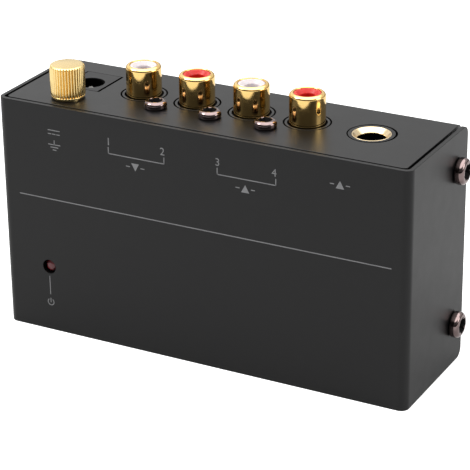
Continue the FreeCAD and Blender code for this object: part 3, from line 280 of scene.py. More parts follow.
GROUND_PITCH = 0.65


def box(node):
    """Lowest and highest corner of a CAD node."""
    return tuple(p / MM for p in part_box(node))


def centre(node):
    low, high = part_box(node)
    return (low + high) / 2 / MM


def upright_axis(node):
    """Point at height 0 under the middle of a CAD node."""
    middle = centre(node)
    return (middle.x, middle.y, 0)


COVER_LOW, COVER_HIGH = box("cover")
CHASSIS_LOW, CHASSIS_HIGH = box("chassis")
FACE_Y = COVER_LOW.y
BASE_Y = COVER_HIGH.y
FLAP_X = COVER_HIGH.x
CASE_HEIGHT = COVER_HIGH.z
CHASSIS_X = CHASSIS_HIGH.x
CHASSIS_FRONT_Y = CHASSIS_LOW.y
PHONO_JACKS = ["input_left", "input_right", "output_left", "output_right"]


# Node-based materials

def value_node(tree, kind, **inputs):
    node = tree.nodes.new(kind)
    for name, value in inputs.items():
        node.inputs[name.replace("_", " ")].default_value = value
    return node


def noise(tree, coordinates, scale, detail=3.0, roughness=0.55):
    node = value_node(tree, "ShaderNodeTexNoise", Scale=scale, Detail=detail, Roughness=roughness)
    tree.links.new(coordinates, node.inputs["Vector"])
    return node.outputs["Fac"]


def ramp(tree, source, stops):
    """A colour from two stops, each (place, colour)."""
    node = tree.nodes.new("ShaderNodeValToRGB")
    for element, (place, colour) in zip(node.color_ramp.elements, stops):
        element.position = place
        element.color = (*colour, 1.0)
    tree.links.new(source, node.inputs["Fac"])
    return node.outputs["Color"]


def spread(tree, source, span, low=0.0, high=1.0):
    """A value that runs from low to high while its source runs over the span."""
    start, end = span
    node = value_node(tree, "ShaderNodeMapRange", From_Min=start, From_Max=end, To_Min=low, To_Max=high)
    tree.links.new(source, node.inputs["Value"])
    return node.outputs["Result"]


def mixed(tree, factor, first, second, kind="RGBA", blend="MIX"):
    """A mix of two colours or values, where each input is a socket or a plain value."""
    node = tree.nodes.new("ShaderNodeMix")
    node.data_type = kind
    node.blend_type = blend
    first_socket, second_socket, result = MIX_SOCKETS[kind]
    for index, source in ((0, factor), (first_socket, first), (second_socket, second)):
        if isinstance(source, bpy.types.NodeSocket):
            tree.links.new(source, node.inputs[index])
        else:
            node.inputs[index].default_value = source
    return node.outputs[result]


def components(tree, output):
    """The X, Y and Z of a texture coordinate, as sockets."""
    split = tree.nodes.new("ShaderNodeSeparateXYZ")
    tree.links.new(tree.nodes.new("ShaderNodeTexCoord").outputs[output], split.inputs[0])
    return [split.outputs[axis] for axis in "XYZ"]


def scaled(colour, factor):
    return tuple(min(1.0, c * factor) for c in colour)


def grey(level):
    return (level, level, level)


def finish_material(name, colour, roughness, metallic=0.0, mottle=0.12, patch_mm=6.0, rough_spread=0.06,
                    grain_mm=0.25, grain_depth=0.006, coat=0.0, stretch=(1.0, 1.0, 1.0), ior=1.5,
                    subsurface=0.0, painted_shade_below=None):
    """A surface with patches of slightly different colour and roughness, and a fine grain in its normal.

    Below a given height its colour turns dark and dull: painted shade, standing in for the shade deep inside
    a hole."""
    material = bpy.data.materials.new(name)
    material.use_nodes = True
    material.diffuse_color = (*colour, 1.0)
    tree = material.node_tree
    shader = tree.nodes["Principled BSDF"]
    mapping = value_node(tree, "ShaderNodeMapping", Scale=stretch)
    tree.links.new(tree.nodes.new("ShaderNodeTexCoord").outputs["Object"], mapping.inputs["Vector"])
    place = mapping.outputs["Vector"]
    patches = noise(tree, place, 1.0 / (patch_mm * MM))
    rough_patches = noise(tree, place, ROUGH_PATCHES / (patch_mm * MM))
    grain = noise(tree, place, 1.0 / (grain_mm * MM), detail=GRAIN_DETAIL)
    shades = (scaled(colour, 1.0 - mottle), scaled(colour, 1.0 + mottle))
    base = ramp(tree, patches, list(zip(PATCH_STOPS, shades)))
    rough = spread(tree, rough_patches, NOISE_SPAN, roughness - rough_spread, roughness + rough_spread)
    # Painted shade: below the given height the colour is pulled to black, for the shade inside holes and
    # bores.
    if painted_shade_below is not None:
        base, rough, metal = painted_hole_shade(tree, base, rough, metallic, painted_shade_below)
        tree.links.new(metal, shader.inputs["Metallic"])
    tree.links.new(base, shader.inputs["Base Color"])
    tree.links.new(rough, shader.inputs["Roughness"])
    bump = value_node(tree, "ShaderNodeBump", Strength=1.0, Distance=grain_depth * MM)
    tree.links.new(grain, bump.inputs["Height"])
    tree.links.new(bump.outputs["Normal"], shader.inputs["Normal"])
    shader.inputs["Metallic"].default_value = metallic
    shader.inputs["IOR"].default_value = ior
    shader.inputs["Coat Weight"].default_value = coat
    shader.inputs["Coat Roughness"].default_value = COAT_ROUGHNESS
    shader.inputs["Subsurface Weight"].default_value = subsurface
    shader.inputs["Subsurface Radius"].default_value = [reach * MM for reach in SCATTER]
    shader.inputs["Subsurface Scale"].default_value = 1.0
    return material


def painted_hole_shade(tree, base, rough, metallic, height):
    """Base colour, roughness and metal share that turn dark and dull below a height: painted shade for the
    inside of a hole.

    The metal share rises to 1 there, since black metal mirrors less than black plastic does."""
    x, y, z = components(tree, "Object")
    unshaded = spread(tree, z, ((height - PAINTED_SHADE_STEP) * MM, height * MM))
    darkened = mixed(tree, unshaded, (*PAINTED_SHADE, 1.0), base)
    dulled = mixed(tree, unshaded, PAINTED_SHADE_ROUGHNESS, rough, "FLOAT")
    metal = mixed(tree, unshaded, 1.0, metallic, "FLOAT")
    return darkened, dulled, metal


def finishes():
    """Settings of every material, by its name."""
    # Heights below which the moulding's holes and the ferrule's bore get painted shade.
    hole_depth = CASE_HEIGHT - HOLE_UNSHADED_DEPTH
    ferrule_depth = box("output_jack_ferrule")[1].z - FERRULE_UNSHADED_DEPTH
    paint = dict(ior=1.36, patch_mm=9.0, mottle=0.06, rough_spread=0.015, grain_mm=0.16, grain_depth=0.002)
    insulator = dict(patch_mm=1.6, grain_mm=0.3, grain_depth=0.003)
    return {
        "painted_cover": dict(colour=(0.002, 0.002, 0.0022), roughness=0.4, **paint),
        "painted_chassis": dict(colour=(0.004, 0.004, 0.0043), roughness=0.36, **paint),
        "black_nickel": dict(colour=(0.2, 0.15, 0.145), roughness=0.07, metallic=1.0, patch_mm=1.2,
                             mottle=0.1, rough_spread=0.02, grain_mm=0.3, grain_depth=0.0005),
        "zinc": dict(colour=(0.6, 0.6, 0.62), roughness=0.3, metallic=1.0, patch_mm=1.5),
        "dark_moulding": dict(colour=(0.006, 0.006, 0.0065), roughness=0.36, ior=1.36, patch_mm=4.0,
                              rough_spread=0.02, grain_mm=0.2, grain_depth=0.002, painted_shade_below=hole_depth),
        "gold_satin": dict(colour=(0.8, 0.6, 0.27), roughness=0.18, metallic=1.0, patch_mm=2.0,
                           mottle=0.03, rough_spread=0.02, grain_mm=0.3, grain_depth=0.0003),
        "gold_bushing": dict(colour=(0.66, 0.52, 0.32), roughness=0.2, metallic=1.0, patch_mm=2.0,
                             mottle=0.05, rough_spread=0.03, grain_mm=0.3, grain_depth=0.0008,
                             painted_shade_below=ferrule_depth),
        # recess_dark is painted shade: a near-black, weakly mirroring colour for the depths of the screw
        # recesses.
        "recess_dark": dict(colour=(0.003, 0.0026, 0.0026), roughness=0.6, ior=1.15, patch_mm=0.8,
                            grain_mm=0.2),
        "gold_polished": dict(colour=(0.84, 0.56, 0.2), roughness=0.1, metallic=1.0, patch_mm=3.0,
                              mottle=0.05, rough_spread=0.03, grain_mm=0.5, grain_depth=0.001,
                              stretch=(1.0, 1.0, 4.0)),
        "tinned_contact": dict(colour=(0.3, 0.29, 0.27), roughness=0.4, metallic=1.0, patch_mm=1.5),
        "wire_jacket": dict(colour=(0.03, 0.2, 0.06), roughness=0.35, patch_mm=3.0),
        "board_laminate": dict(colour=(0.03, 0.14, 0.05), roughness=0.4, patch_mm=2.5, mottle=0.25),
        "capacitor_sleeve": dict(colour=(0.02, 0.03, 0.08), roughness=0.3, patch_mm=3.0),
        "film_case": dict(colour=(0.5, 0.07, 0.03), roughness=0.35, patch_mm=3.0),
        "red_lens": dict(colour=(0.1, 0.01, 0.014), roughness=0.3, patch_mm=1.5, grain_depth=0.001,
                         coat=0.15),
        "white_insulator": dict(colour=(0.76, 0.69, 0.7), roughness=0.3, mottle=0.04, subsurface=0.25,
                                **insulator),
        "red_insulator": dict(colour=(0.62, 0.018, 0.012), roughness=0.36, mottle=0.1, subsurface=0.1,
                              ior=1.4, **insulator),
        "foot_rubber": dict(colour=(0.02, 0.02, 0.02), roughness=0.7, grain_mm=0.3, grain_depth=0.01),
        "face_print": dict(colour=(0.19, 0.19, 0.195), roughness=0.55, patch_mm=2.0, grain_mm=0.15),
    }


# Mesh building

def to_object(bm, name, material, body, replaced=(), weighted=True, sharp=SHARP_ANGLE):
    """Closes a mesh and makes it a piece, with its material and body.

    Its normals are made consistent and its faces smooth, with creases at angles of more than sharp."""
    bmesh.ops.remove_doubles(bm, verts=bm.verts, dist=MERGE_DISTANCE * MM)
    bmesh.ops.recalc_face_normals(bm, faces=bm.faces)
    for face in bm.faces:
        face.smooth = True
    for edge in bm.edges:
        if len(edge.link_faces) == 2 and edge.calc_face_angle(0.0) > sharp:
            edge.smooth = False
    piece = as_object(bm, name)
    piece.data.materials.append(material)
    if weighted:
        modifier = piece.modifiers.new("weighted", "WEIGHTED_NORMAL")
        modifier.keep_sharp = True
    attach(piece, body)
    if replaced:
        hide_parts(*replaced)
    return piece


def as_object(bm, name):
    mesh = bpy.data.meshes.new(name)
    bm.to_mesh(mesh)
    bm.free()
    piece = bpy.data.objects.new(name, mesh)
    bpy.context.scene.collection.objects.link(piece)
    return piece


def add_mesh(target, part):
    """Copies one mesh into another and frees it."""
    spare = bpy.data.meshes.new("spare")
    part.to_mesh(spare)
    part.free()
    target.from_mesh(spare)
    bpy.data.meshes.remove(spare)


def rounded_path(corners, closed):
    """Points along corners, each (a, b, radius), with a fine arc at every corner whose radius isn't 0."""
    points = []
    count = len(corners)
    for i, (a, b, radius) in enumerate(corners):
        here = Vector((a, b))
        if radius <= 0 or (not closed and i in (0, count - 1)):
            points.append(here)
            continue
        before = (Vector(corners[i - 1][:2]) - here).normalized()
        after = (Vector(corners[(i + 1) % count][:2]) - here).normalized()
        half = before.angle(after) / 2
        middle = here + (before + after).normalized() * (radius / math.sin(half))
        start = here + before * (radius / math.tan(half)) - middle
        turn = math.pi - 2 * half
        if before.cross(after) > 0:
            turn = -turn
        for k in range(ROUND_STEPS + 1):
            angle = turn * k / ROUND_STEPS
            points.append(middle + Matrix.Rotation(angle, 2) @ start)
    return points


def frame_matrix(at, axis):
    """Puts a mesh modelled in millimetres about +Z at the point at, with its +Z along axis."""
    turn = Vector((0, 0, 1)).rotation_difference(Vector(axis)).to_matrix().to_4x4()
    return Matrix.Scale(MM, 4) @ Matrix.Translation(Vector(at)) @ turn


def placed(bm, at, axis=(0, 0, 1)):
    """Moves a mesh modelled in millimetres into its place in the scene, in metres."""
    bmesh.ops.transform(bm, matrix=frame_matrix(at, axis), verts=bm.verts)
    return bm


def turned_ring(bm, height, radii):
    """A ring of vertices about +Z with a radius for each, or one shared vertex if it lies on the axis."""
    steps = len(radii)
    if max(radii) < ON_AXIS:
        return [bm.verts.new((0, 0, height))] * steps
    angles = [2 * math.pi * k / steps for k in range(steps)]
    return [bm.verts.new((r * math.cos(t), r * math.sin(t), height)) for r, t in zip(radii, angles)]


def join_rings(bm, low, high):
    """Faces between two rings, which are triangles where a ring is one shared vertex."""
    steps = len(low)
    for k in range(steps):
        following = (k + 1) % steps
        corners = list(dict.fromkeys((low[k], low[following], high[following], high[k])))
        if len(corners) > 2:
            bm.faces.new(corners)


def turned_levels(levels, closed):
    """A mesh in millimetres about +Z from levels of (height, radii), joined in their order."""
    bm = bmesh.new()
    rings = [turned_ring(bm, height, radii) for height, radii in levels]
    if closed:
        rings.append(rings[0])
    for low, high in zip(rings, rings[1:]):
        join_rings(bm, low, high)
    return bm


def turned(profile, closed, steps=TURN_STEPS):
    """A turned mesh in millimetres about +Z from a profile of (radius, height, corner round).

    An open profile begins and ends on the axis."""
    levels = [(height, [radius] * steps) for radius, height in rounded_path(profile, closed)]
    return turned_levels(levels, closed)


def lathe(profile, at, axis=(0, 0, 1), closed=True):
    """A turned mesh in its place, its height 0 at the point at and its +Z along axis."""
    return placed(turned(profile, closed), at, axis)


def circle_loop(x, y, radius):
    """A circle, which grows by a given amount."""
    def loop(grow):
        r = radius + grow
        angles = [2 * math.pi * k / HOLE_STEPS for k in range(HOLE_STEPS)]
        return [Vector((x + r * math.cos(t), y + r * math.sin(t))) for t in angles]
    return loop


def box_loop(x0, y0, x1, y1, radius):
    """A rectangle with rounded corners, which grows by a given amount on every side."""
    def loop(grow):
        left, right = x0 - grow, x1 + grow
        bottom, top = y0 - grow, y1 + grow
        corners = ((left, bottom), (right, bottom), (right, top), (left, top))
        return rounded_path([(x, y, radius + grow) for x, y in corners], True)
    return loop


def edge_levels(thickness, edge):
    """Depths and insets of a sheet's side, from one face to the other, with both its edges rounded."""
    soft = edge * (1 - math.sqrt(0.5))
    upper = [(0, edge), (soft, soft), (edge, 0)]
    return upper + [(thickness - depth, inset) for depth, inset in reversed(upper)]


def plate(outer, holes, thickness):
    """A flat sheet with holes, its cut edges slightly rounded. It lies in X and Y, from height 0 down."""
    bm = bmesh.new()
    layers = []
    for side, rim in zip(edge_levels(thickness, SHEET_EDGE), edge_levels(thickness, HOLE_EDGE)):
        layer = [[bm.verts.new((p.x, p.y, -side[0])) for p in outer(-side[1])]]
        layer += [[bm.verts.new((p.x, p.y, -rim[0])) for p in hole(rim[1])] for hole in holes]
        layers.append(layer)
    for upper, lower in zip(layers, layers[1:]):
        for a, b in zip(upper, lower):
            join_rings(bm, a, b)
    for layer in (layers[0], layers[-1]):
        flat = [vert for loop in layer for vert in loop]
        for triangle in tessellate_polygon([[v.co for v in loop] for loop in layer]):
            bm.faces.new([flat[i] for i in triangle])
    return bm


def cut_at(bm, places):
    """Cuts a flat sheet across its first direction at each place."""
    for place in places:
        geometry = bm.verts[:] + bm.edges[:] + bm.faces[:]
        bmesh.ops.bisect_plane(bm, geom=geometry, dist=CUT_TOLERANCE,
                               plane_co=(place, 0, 0), plane_no=(1, 0, 0))


def u_fold(bm, arm, web, radius):
    """Folds a flat sheet into a U across X: two arms and a web, each given over the outside of the bends.

    A narrow strip beside each bend keeps the shading of the flat parts even."""
    arc = radius * math.pi / 2
    first_start = arm - radius
    first_end = first_start + arc
    second_start = first_end + web - 2 * radius
    second_end = second_start + arc
    for start in (first_start, second_start):
        bend = [start + arc * k / BEND_STEPS for k in range(BEND_STEPS + 1)]
        cut_at(bm, [start - BEND_MARGIN, *bend, start + arc + BEND_MARGIN])
    for vert in bm.verts:
        along, across, depth = vert.co.x, vert.co.y, -vert.co.z
        reach = radius - depth
        if along <= first_start:
            x, y = depth, arm - along
        elif along < first_end:
            angle = (along - first_start) / radius
            x, y = radius - reach * math.cos(angle), radius - reach * math.sin(angle)
        elif along <= second_start:
            x, y = radius + along - first_end, depth
        elif along < second_end:
            angle = (along - second_start) / radius
            x, y = web - radius + reach * math.sin(angle), radius - reach * math.cos(angle)
        else:
            x, y = web - depth, radius + along - second_end
        vert.co = Vector((x, y, across))


def place_sheet(bm, columns, offset):
    """Maps a folded sheet's three directions onto the given ones, shifts it, and turns it to metres."""
    turn = Matrix([list(c) for c in columns]).transposed().to_4x4()
    matrix = Matrix.Scale(MM, 4) @ Matrix.Translation(Vector(offset)) @ turn
    bmesh.ops.transform(bm, matrix=matrix, verts=bm.verts)


# Folded sheets

def fold_gain(radius):
    """What one bend adds to the flat length over its two outer faces, which is less than nothing."""
    return radius * math.pi / 2 - 2 * radius


def make_cover(materials):
    """Printed face and two end flaps."""
    depth = BASE_Y - FACE_Y
    width = 2 * FLAP_X
    gain = fold_gain(COVER_BEND)
    length = 2 * depth + width + 2 * gain
    low, high = box("end_screws")
    head = high.y - low.y
    from_edge = BASE_Y - (low.y + high.y) / 2
    heights = (low.z + head / 2, high.z - head / 2)
    holes = [circle_loop(s, z, END_SCREW_HOLE / 2) for s in (from_edge, length - from_edge) for z in heights]
    light = centre("power_light")
    holes.append(circle_loop(depth + gain + light.x + FLAP_X, light.z, LIGHT_HOLE / 2))
    sheet = plate(box_loop(0, 0, length, CASE_HEIGHT, FLAP_CORNER), holes, SHEET)
    u_fold(sheet, depth, width, COVER_BEND)
    place_sheet(sheet, ((1, 0, 0), (0, 1, 0), (0, 0, 1)), (-FLAP_X, FACE_Y, 0))
    to_object(sheet, "cover_sheet", materials["painted_cover"], "case", ["cover"],
              sharp=SHEET_SHARP_ANGLE)


def block_screw_places():
    """Middles of the three screws of the jack block, in X and Y."""
    low, high = box("phono_block_screws")
    head = high.y - low.y
    xs = (low.x + head / 2, (low.x + high.x) / 2, high.x - head / 2)
    return [(x, (low.y + high.y) / 2) for x in xs]


def spigot_places():
    """Middles of the board screws, which stand in line with the standoffs' spigots in the base sheet."""
    low, high = box("board_screws")
    radius = BOARD_SCREW_HEAD / 2
    return [(x, z) for x in (low.x + radius, high.x - radius) for z in (low.z + radius, high.z - radius)]


def panel_holes(place):
    """Cut-outs of the connector panel, at the flat pattern's place(x, y)."""
    jacks = [centre(f"phono_shell_{name}") for name in PHONO_JACKS]
    output = centre("output_jack_ferrule")
    stud = centre("ground_stud")
    round_holes = [(jack.x, jack.y, PHONO_PANEL_HOLE) for jack in jacks]
    round_holes += [(x, y, BLOCK_SCREW_HOLE) for x, y in block_screw_places()]
    round_holes.append((output.x + OUTPUT_HOLE_SHIFT, output.y, OUTPUT_PANEL_HOLE))
    round_holes.append((stud.x, stud.y, STUD_HOLE))
    holes = [circle_loop(*place(x, y), diameter / 2) for x, y, diameter in round_holes]
    low, high = box("power_inlet_body")
    u0, v0 = place(low.x - INLET_GAP, low.y - INLET_GAP_FRONT)
    u1, v1 = place(high.x + INLET_GAP_RIGHT, high.y - INLET_FLANGE_LIFT + INLET_GAP_BACK)
    holes.append(box_loop(min(u0, u1), min(v0, v1), max(u0, u1), max(v0, v1), INLET_CORNER))
    return holes


def make_chassis(materials):
    """Connector panel, base sheet and the narrow side underneath, folded across the cover's direction."""
    arm = BASE_Y - CHASSIS_FRONT_Y - PANEL_EDGE_BACK
    gain = fold_gain(CHASSIS_BEND)
    length = 2 * arm + CASE_HEIGHT + 2 * gain

    def place(x, y):
        return (length - (y - CHASSIS_FRONT_Y - PANEL_EDGE_BACK), x)

    holes = panel_holes(place)
    holes += [circle_loop(arm + gain + z, x, SPIGOT_HOLE / 2) for x, z in spigot_places()]
    half = CHASSIS_X - PANEL_SIDE_BACK
    sheet = plate(box_loop(0, -half, length, half, PANEL_CORNER), holes, SHEET)
    u_fold(sheet, arm, CASE_HEIGHT, CHASSIS_BEND)
    place_sheet(sheet, ((0, 0, 1), (0, -1, 0), (1, 0, 0)), (0, BASE_Y, 0))
    to_object(sheet, "chassis_sheet", materials["painted_chassis"], "case", ["chassis"],
              sharp=SHEET_SHARP_ANGLE)


# Turned and moulded pieces

def make_phono_shell(name, materials):
    """Gold shell with a rolled rim, seated under the panel by its flange."""
    node = f"phono_shell_{name}"
    low, high = box(node)
    flange_foot = CASE_HEIGHT - SHELL_FLANGE_FOOT
    flange_top = CASE_HEIGHT - SHELL_FLANGE_TOP
    profile = [
        (SHELL_BORE, low.z, 0),
        (SHELL_TAIL, low.z, 0),
        (SHELL_TAIL, flange_foot, 0),
        (SHELL_FLANGE, flange_foot, 0),
        (SHELL_FLANGE, flange_top, 0),
        (SHELL_NECK, flange_top, 0),
        (SHELL_NECK, CASE_HEIGHT, 0),
        (SHELL_OUTSIDE, CASE_HEIGHT, SHELL_FOOT_ROUND),
        (SHELL_OUTSIDE, high.z, SHELL_RIM_ROUND),
        (SHELL_BORE, high.z, SHELL_MOUTH_ROUND),
    ]
    to_object(lathe(profile, upright_axis(node)), f"phono_shell_{name}_turned", materials["gold_polished"],
              "case", [node])


def make_phono_insulator(name, materials):
    """Coloured insulator in the shell, with a funnel for the plug's pin. Red marks the right channel."""
    node = f"phono_insulator_{name}"
    low, high = box(node)
    tail_top = box(f"phono_shell_{name}")[0].z
    face = high.z + INSULATOR_RISE
    profile = [
        (INSULATOR_TAIL_BORE, low.z, 0),
        (INSULATOR_TAIL, low.z, 0),
        (INSULATOR_TAIL, tail_top, 0),
        (INSULATOR_STEM, tail_top, 0),
        (INSULATOR_STEM, face, INSULATOR_EDGE_ROUND),
        (INSULATOR_MOUTH, face, INSULATOR_FUNNEL_ROUND),
        (INSULATOR_BORE, face - INSULATOR_FUNNEL, INSULATOR_FUNNEL_ROUND),
        (INSULATOR_BORE, face - INSULATOR_DEPTH, 0),
        (INSULATOR_TAIL_BORE, face - INSULATOR_DEPTH, 0),
    ]
    colour = "red_insulator" if name.endswith("right") else "white_insulator"
    to_object(lathe(profile, upright_axis(f"phono_shell_{name}")), f"phono_insulator_{name}_moulded",
              materials[colour], "case", [node])


def make_phono_boss(name, materials):
    """Rim of the moulded boss that stands round the shell in its panel hole."""
    foot = CASE_HEIGHT - BOSS_DEPTH
    top = CASE_HEIGHT - BOSS_SUNK
    profile = [
        (BOSS_INNER, foot, 0),
        (BOSS_OUTER, foot, 0),
        (BOSS_OUTER, top, BOSS_ROUND),
        (BOSS_INNER, top, BOSS_ROUND),
    ]
    to_object(lathe(profile, upright_axis(f"phono_shell_{name}")), f"phono_boss_{name}_rim",
              materials["dark_moulding"], "case")


def make_ferrule(materials):
    """Gold ring of the output jack, chamfered towards its bore."""
    low, high = box("output_jack_ferrule")
    outer = (high.x - low.x) / 2
    profile = [
        (FERRULE_BORE, low.z, 0),
        (outer, low.z, 0),
        (outer, high.z, FERRULE_EDGE_ROUND),
        (FERRULE_MOUTH, high.z, FERRULE_EDGE_ROUND),
        (FERRULE_BORE, high.z - FERRULE_CHAMFER, FERRULE_BORE_ROUND),
    ]
    to_object(lathe(profile, upright_axis("output_jack_ferrule")), "output_jack_ferrule_turned",
              materials["gold_bushing"], "case", ["output_jack_ferrule"])


def make_stud(materials):
    """Stud of the ground terminal, with a flange that stands on the panel."""
    low, high = box("ground_stud")
    tip = STUD_RADIUS - STUD_BEVEL
    flange_top = CASE_HEIGHT + STUD_FLANGE_HEIGHT
    profile = [
        (0, low.z, 0),
        (tip, low.z, 0),
        (STUD_RADIUS, low.z + STUD_BEVEL, 0),
        (STUD_RADIUS, CASE_HEIGHT, 0),
        (STUD_FLANGE, CASE_HEIGHT, 0),
        (STUD_FLANGE, flange_top, STUD_FLANGE_ROUND),
        (STUD_RADIUS, flange_top, 0),
        (STUD_RADIUS, high.z - STUD_BEVEL, 0),
        (tip, high.z, 0),
        (0, high.z, 0),
    ]
    to_object(lathe(profile, upright_axis("ground_stud"), closed=False), "ground_stud_turned",
              materials["gold_satin"], "case", ["ground_stud"])


def make_washer(materials):
    """Loose washer under the thumb nut."""
    low, high = box("ground_washer")
    outer = (high.x - low.x) / 2 - WASHER_INSET
    profile = [
        (WASHER_BORE, low.z, 0),
        (outer, low.z, WASHER_ROUND),
        (outer, high.z, WASHER_ROUND),
        (WASHER_BORE, high.z, 0),
    ]
    to_object(lathe(profile, upright_axis("ground_stud")), "ground_washer_turned", materials["gold_satin"],
              "washer", ["ground_washer"])


def rib_radius(share, outer):
    """Radius of the knurl at a share of one rib: a rounded ridge with a narrow groove between two."""
    wave = 0.5 - 0.5 * math.cos(2 * math.pi * share)
    return outer - KNURL_DEPTH + KNURL_DEPTH * wave ** 0.5


def make_thumb_nut(materials):
    """Knurled thumb nut with a blind bore and a plain rim, its ribs run out into a bevelled crown."""
    low, high = box("ground_thumb_nut")
    outer = (high.x - low.x) / 2
    rim = outer - NUT_RIM_INSET
    foot = low.z + NUT_RIM_HEIGHT
    bore_top = high.z - NUT_ROOF
    steps = KNURL_RIBS * KNURL_STEPS
    plain = [(bore_top, 0), (bore_top, NUT_BORE), (low.z, NUT_BORE), (low.z, rim - NUT_RIM_ROUND),
             (low.z + NUT_RIM_ROUND, rim), (foot - NUT_RIM_ROUND, rim)]
    ribs = [rib_radius(k / KNURL_STEPS, outer) for k in range(steps)]
    levels = [(height, [radius] * steps) for height, radius in plain]
    levels.append((foot, ribs))
    for k in range(NUT_BEVEL_STEPS + 1):
        angle = math.pi / 2 * k / NUT_BEVEL_STEPS
        limit = outer - NUT_BEVEL * (1 - math.cos(angle)) * NUT_BEVEL_WIDER
        levels.append((high.z - NUT_BEVEL + NUT_BEVEL * math.sin(angle), [min(r, limit) for r in ribs]))
    levels.append((high.z, [0] * steps))
    nut = placed(turned_levels(levels, closed=False), upright_axis("ground_thumb_nut"))
    to_object(nut, "ground_thumb_nut_knurled", materials["gold_satin"], "thumb_nut",
              ["ground_thumb_nut"])


def make_light(materials):
    """Red lens with a domed front, its flange behind the face."""
    low, high = box("power_light")
    middle = centre("power_light")
    length = high.y - low.y
    profile = [
        (0, 0, 0),
        (LENS_FLANGE, 0, LENS_FLANGE_ROUND),
        (LENS_FLANGE, LENS_FLANGE_HEIGHT, LENS_FLANGE_ROUND),
        (LENS_RADIUS, LENS_FLANGE_HEIGHT, 0),
        (LENS_RADIUS, length, LENS_DOME),
        (0, length, 0),
    ]
    lens = lathe(profile, (middle.x, high.y, middle.z), axis=(0, -1, 0), closed=False)
    to_object(lens, "power_light_lens", materials["red_lens"], "case", ["power_light"])


def make_feet(materials):
    """Four round feet on the base sheet, each a little hollow in its middle."""
    low, high = box("rubber_feet")
    height = high.y - low.y
    profile = [
        (0, 0, 0),
        (FOOT_RADIUS, 0, 0),
        (FOOT_RADIUS, height, FOOT_ROUND),
        (FOOT_RADIUS - FOOT_DISH_RIM, height, 0),
        (0, height - FOOT_DISH_DEPTH, 0),
    ]
    feet = bmesh.new()
    for x in (low.x + FOOT_RADIUS, high.x - FOOT_RADIUS):
        for z in (low.z + FOOT_RADIUS, high.z - FOOT_RADIUS):
            add_mesh(feet, lathe(profile, (x, BASE_Y, z), axis=(0, 1, 0), closed=False))
    to_object(feet, "rubber_feet_moulded", materials["foot_rubber"], "case", ["rubber_feet"])


# Screws

def cross_cutter(head, height):
    """Tapered cross that cuts a screw's recess: wide at the top and narrow at its foot."""
    bm = bmesh.new()
    levels = ((height + RECESS_OVER, RECESS_MOUTH), (height - height * RECESS_DEPTH_SHARE, RECESS_FOOT))
    rings = []
    for z, (reach_share, arm_share) in levels:
        reach = head * RECESS_REACH_SHARE * reach_share
        arm = head * RECESS_ARM_SHARE * arm_share
        waist = arm * RECESS_WAIST
        corner = [(reach, arm), (waist, waist), (arm, reach)]
        outline = []
        for quarter in range(4):
            outline += corner
            corner = [(-y, x) for x, y in corner]
        rings.append([bm.verts.new((x, y, z)) for x, y in outline])
    join_rings(bm, *rings)
    bm.faces.new(rings[0])
    bm.faces.new(rings[1][::-1])
    bmesh.ops.recalc_face_normals(bm, faces=bm.faces)
    return bm


def screw_mesh(thread, length, head, height):
    """A pan-head screw with a cross recess, its bearing face at height 0, in millimetres."""
    shoulder = min(SHOULDER_HEIGHT_SHARE * height, SHOULDER_WIDTH_SHARE * head)
    profile = [
        (0, -length, 0),
        (thread / 2 - TIP_INSET, -length, 0),
        (thread / 2, -length + TIP_LENGTH, 0),
        (thread / 2, 0, 0),
        (head / 2, 0, height * HEAD_FOOT_HEIGHT_SHARE),
        (head / 2, height, shoulder),
        (head * DISH_RIM_SHARE, height, head * DISH_RIM_ROUND_SHARE),
        (head * DISH_FLOOR_SHARE, height - DISH_DEPTH, 0),
        (0, height - DISH_DEPTH, 0),
    ]
    body = turned(profile, closed=False, steps=SCREW_STEPS)
    bmesh.ops.recalc_face_normals(body, faces=body.faces)
    piece = as_object(body, "screw_body")
    cutter = as_object(cross_cutter(head, height), "screw_cutter")
    cut = piece.modifiers.new("recess", "BOOLEAN")
    cut.operation = "DIFFERENCE"
    cut.solver = "EXACT"
    cut.object = cutter
    bpy.context.view_layer.update()
    evaluated = piece.evaluated_get(bpy.context.evaluated_depsgraph_get())
    result = bpy.data.meshes.new_from_object(evaluated)
    for spare in (piece, cutter):
        mesh = spare.data
        bpy.data.objects.remove(spare)
        bpy.data.meshes.remove(mesh)
    return result


def make_screws(node, places, thread, length, head, height, materials):
    """The screws of one CAD node as one piece; each place is (point, axis, turn of the recess)."""
    mesh = screw_mesh(thread, length, head, height)
    # Faces deep in the head's middle take the second material, recess_dark: painted shade in the recess.
    for face in mesh.polygons:
        middle = face.center
        near = math.hypot(middle.x, middle.y) < head * RECESS_REACH_SHARE
        sunk = 0 < middle.z < height - RECESS_SHADE_BELOW
        face.material_index = 1 if near and sunk else 0
    screws = bmesh.new()
    for point, axis, turn in places:
        one = bmesh.new()
        one.from_mesh(mesh)
        bmesh.ops.transform(one, matrix=Matrix.Rotation(math.radians(turn), 4, "Z"), verts=one.verts)
        add_mesh(screws, placed(one, point, axis))
    bpy.data.meshes.remove(mesh)
    piece = to_object(screws, f"{node}_turned", materials["black_nickel"], "case", [node])
    piece.data.materials.append(materials["recess_dark"])


def make_end_screws(materials):
    """Two screws in each end flap."""
    low, high = box("end_screws")
    head = high.y - low.y
    y = (low.y + high.y) / 2
    spots = [(side, z) for side in (-1, 1) for z in (low.z + head / 2, high.z - head / 2)]
    places = [((side * FLAP_X, y, z), (side, 0, 0), turn) for (side, z), turn in zip(spots, END_SCREW_TURNS)]
    make_screws("end_screws", places, END_SCREW_THREAD, END_SCREW_LENGTH, head, high.x - FLAP_X, materials)


